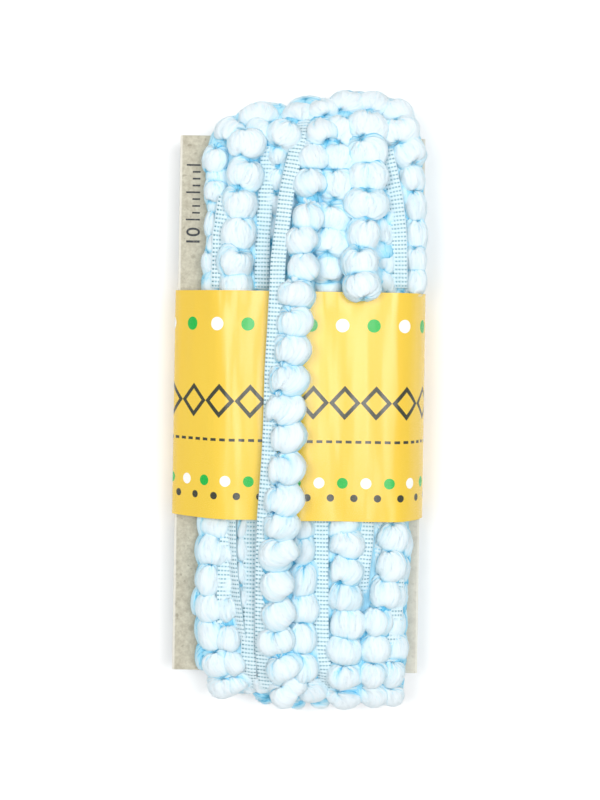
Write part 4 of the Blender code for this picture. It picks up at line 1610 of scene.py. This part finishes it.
def run_of(
    rows: Sequence[Row], winding: Winding, steps: int = 60, twist: float = 0.0
) -> Array:
    """Turns rows of places into a smooth route with the way out at each point.

    Args:
        rows: x, y and z of the tape's middle.
        winding: the turns that the tape lies on.
        steps: how many points the route gets.
        twist: how far the tape turns about its own run, in degrees.

    Returns:
        Rows of six numbers: a place and the way out there.
    """
    places = np.array(rows)
    lengths = lengths_along(places)
    dense = read_at(np.linspace(0.0, lengths[-1], steps), lengths, places)
    for _ in range(4):
        dense[1:-1] = (dense[:-2] + 2 * dense[1:-1] + dense[2:]) / 4
    turn = math.radians(twist)
    side = np.array([math.sin(turn), 0.0, 0.0])
    outward = [unit(winding.outward_at(point) * math.cos(turn) + side) for point in dense]
    return np.column_stack([dense, outward])


@dataclass(frozen=True)
class Card:
    """The chipboard card that the trim is wound on, with the length stamped on its margin."""

    width: float = 88.0
    length: float = 192.0
    thickness: float = 2.5
    middle_y: float = -1.5
    middle_z: float = 15.5
    corner: float = 1.2
    softness: float = 0.28
    mark_x: float = -39.1
    mark_y: float = 54.6
    mark_height: float = 5.0
    ticks: int = 9
    first_tick: float = 9.6
    tick_pitch: float = 2.45
    capital_share: float = 0.73

    def build(self, finish: BoardFinish) -> Item:
        """Models the card: a block with its corners rounded and its cut edges softened."""
        card = added(bpy.ops.mesh.primitive_cube_add, "chipboard_card", size=1.0)
        sizes = np.array([self.width, self.length, self.thickness])
        middle = np.array([0.0, self.middle_y, self.middle_z])
        move_corners(card, (corners_of(card) * sizes + middle) * MM)
        with editing(card) as shape:
            for edge in shape.edges:
                ends = [vert.co for vert in edge.verts]
                edge.select_set(abs(ends[0].z - ends[1].z) > self.thickness * MM / 2)
            bmesh.update_edit_mesh(card.data)
            bpy.ops.mesh.bevel(offset=self.corner * MM, segments=4, affect="EDGES")
            select_all()
            bpy.ops.mesh.bevel(offset=self.softness * MM, segments=2, affect="EDGES")
        smooth(card, 35.0)
        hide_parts("card")
        return dress(card, finish.material())

    def stamp(self, finish: InkFinish) -> Item:
        """Models the length mark: the number of metres and a row of measuring ticks."""
        text = added(bpy.ops.object.text_add, "length_text")
        text.data.body = "10"
        text.data.size = self.mark_height / self.capital_share
        text.data.extrude = 0.01
        text.data.offset = 0.06
        choose(text)
        bpy.ops.object.convert(target="MESH")
        mark = bpy.context.object
        mark.name = mark.data.name = "length_mark"
        with editing(mark):
            for tick in range(self.ticks):
                long = self.mark_height * (1.0 if tick % 4 == 0 else 0.55)
                place = (self.first_tick + tick * self.tick_pitch, long / 2, 0.0)
                bpy.ops.mesh.primitive_cube_add(size=1.0, location=place)
                bpy.ops.transform.resize(value=(0.62, long, 0.02), center_override=place)
        across, along, rise = corners_of(mark).T
        top = self.middle_z + self.thickness / 2 + 0.03
        right = self.mark_x + self.mark_height / 2
        turned = np.column_stack([right - along, self.mark_y + across, top + rise])
        move_corners(mark, turned * MM)
        return dress(mark, finish.material())


@dataclass(frozen=True)
class Heart:
    """The innermost turns round the card, pressed into one body, seen only in deep gaps."""

    x_range: tuple[float, float] = (-30.5, 38.2)
    y_range: tuple[float, float] = (-98.0, 96.5)
    z_range: tuple[float, float] = (6.5, 25.5)
    rounding: float = 8.0
    rib: float = 0.9
    shade: float = 0.5

    def build(self, material: bpy.types.Material) -> Item:
        """Models the body: a block with broad round edges, ribbed like the turns on it."""
        heart = added(bpy.ops.mesh.primitive_cube_add, "inner_turns_body", size=1.0)
        low, high = np.array([self.x_range, self.y_range, self.z_range]).T
        move_corners(heart, (corners_of(heart) * (high - low) + (high + low) / 2) * MM)
        with editing(heart):
            bpy.ops.mesh.bevel(offset=self.rounding * MM, segments=5, affect="EDGES")
            select_all()
            bpy.ops.mesh.subdivide(number_cuts=5)
        places = corners_of(heart) / MM
        normals = np.empty(len(places) * 3)
        heart.data.vertices.foreach_get("normal", normals)
        ribs = self.rib * np.cos(places[:, 0] * 0.7) * np.cos(places[:, 1] * 0.66)
        move_corners(heart, (places + ribs[:, None] * normals.reshape(-1, 3)) * MM)
        heart.data.shade_smooth()
        gather, plain = places * np.array([0.3, 0.05, 0.3]), np.zeros(len(places))
        add_looks(heart, plain + self.shade, gather, plain)
        return dress(heart, material)


@dataclass(frozen=True)
class Studio:
    """A pale floor, soft light and a camera straight above, as the photograph has it."""

    camera_y: float = 26.94
    camera_z: float = 531.5
    roll: float = 0.911
    lens: float = 64.485
    sensor: float = 36.0
    shift_y: float = -0.09375
    room: float = 0.46
    key_power: float = 4.7
    key_size: float = 0.4
    gloss: Row = (0.105, -0.06, 1.10)
    gloss_size: float = 0.16
    gloss_power: float = 1.25
    keys: tuple[Row, ...] = ((-0.36, 0.15, 1.10), (0.36, 0.15, 1.10))

    def floor(self, finish: FloorFinish) -> None:
        """Lays the floor under the winding."""
        floor = added(bpy.ops.mesh.primitive_plane_add, "floor", size=6.0)
        floor.data.materials.append(finish.material())

    def light(self, name: str, place: Row, aim: Row, size: float, power: float) -> None:
        """Hangs one soft light.

        Args:
            name: the light's name.
            place: where it hangs, in metres.
            aim: the point that it faces.
            size: the side of its square.
            power: its power in watts.
        """
        data = bpy.data.lights.new(name, "AREA")
        data.size = size
        data.energy = power
        lamp = bpy.data.objects.new(name, data)
        bpy.context.scene.collection.objects.link(lamp)
        lamp.location = place
        way = np.array(aim) - np.array(place)
        lamp.rotation_mode = "QUATERNION"
        lamp.rotation_quaternion = Vector(way).to_track_quat("-Z", "Y")

    def build(self) -> None:
        """Sets the stage, the lights, the world and the camera."""
        scene = bpy.context.scene
        scene.view_settings.view_transform = "Standard"
        self.floor(FloorFinish())
        for name, place in zip(("left_key", "right_key"), self.keys):
            self.light(name, place, (0.0, 0.0, 0.02), self.key_size, self.key_power)
        aim = (self.gloss[0], 0.0, 0.02)
        self.light("paper_gloss", self.gloss, aim, self.gloss_size, self.gloss_power)
        world = bpy.data.worlds.new("white_room")
        scene.world = world
        world.use_nodes = True
        background = world.node_tree.nodes["Background"]
        background.inputs["Color"].default_value = (1.0, 1.0, 1.0, 1.0)
        background.inputs["Strength"].default_value = self.room
        data = bpy.data.cameras.new("camera")
        data.sensor_width = self.sensor
        data.lens = self.lens
        data.shift_y = self.shift_y
        camera = bpy.data.objects.new("camera", data)
        scene.collection.objects.link(camera)
        camera.location = (0.0, self.camera_y * MM, self.camera_z * MM)
        camera.rotation_euler = (0.0, 0.0, math.radians(self.roll))
        scene.camera = camera


def build_trim(band: Band) -> None:
    """Builds the wound trim: its puffs, its tapes and the body inside."""
    roving = RovingFinish().material()
    winding = Winding()
    front = winding.front_puffs()
    sides = [LAST_PINCHES[abs(row[1]) > band.half_reach] for row in LAST_TURN_ROWS]
    last = winding.laid(LAST_TURN_ROWS, sides, 18.0, 18.0, (2.3, -0.3))
    loose = winding.laid(LOOSE_END_ROWS, -0.1, 4.0)
    back = winding.back_puffs()
    inner = winding.inner_puffs()
    flanks = winding.flank_puffs()
    everyone = [*front, *last, *loose, *back, *inner, *flanks]
    fine, finest, plain, small = (PuffForm(detail) for detail in Detail)
    press, carry = partial(band.press, clear=0.5), partial(band.carry, clear=0.35)
    beds = (
        (PuffBed("front_turns", fine, front), press),
        (PuffBed("last_turn", finest, last), carry),
        (PuffBed("loose_end", finest, loose), carry),
        (PuffBed("back_turns", plain, back), press),
        (PuffBed("inner_turns", small, inner), press),
        (PuffBed("side_turns", plain, flanks), press),
        (PuffBed("gathered_necks", small, winding.necks), partial(band.press, clear=0.9)),
    )
    for bed, settle in beds:
        piece = bed.build(everyone, settle, winding.chance)
        if bed.name == "front_turns":
            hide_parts("wound_trim")
        dress(piece, roving)
    hairy = (("front_fibres", 84, beds[:1]), ("last_turn_fibres", 120, beds[1:3]))
    for name, each, haired in hairy:
        fibres = StrayFibres(each)
        for bed, _ in haired:
            for skin in bed.skins:
                fibres.grow(skin, winding.chance)
        dress(fibres.build(name), roving)
    Heart().build(roving)
    tape = HeadingTape()
    tapes = TapeBed("heading_tapes", tape)
    for name, rows in TAPE_RUNS.items():
        tapes.add(run_of(rows, winding, 60, TAPE_TWISTS.get(name, 0.0)))
    # Each run gets its threads and a painted-shade strip behind its slots
    tapes.build(TapeFinish(), SlotShadeFinish())
    last_tape = TapeBed("last_turn_tape", tape)
    last_tape.add(run_of(LAST_TAPE_RUN, winding, 160))
    last_tape.build(TapeFinish(name="last_tape_thread"), SlotShadeFinish(name="last_tape_ground"))


def main() -> None:
    """Builds the pieces in order, then the stage."""
    logging.basicConfig(level=logging.INFO, format="%(message)s")
    band = Band()
    build_trim(band)
    band.build(PaperFinish())
    card = Card()
    card.build(BoardFinish())
    card.stamp(InkFinish())
    Studio().build()


if __name__ == "__main__":
    main()
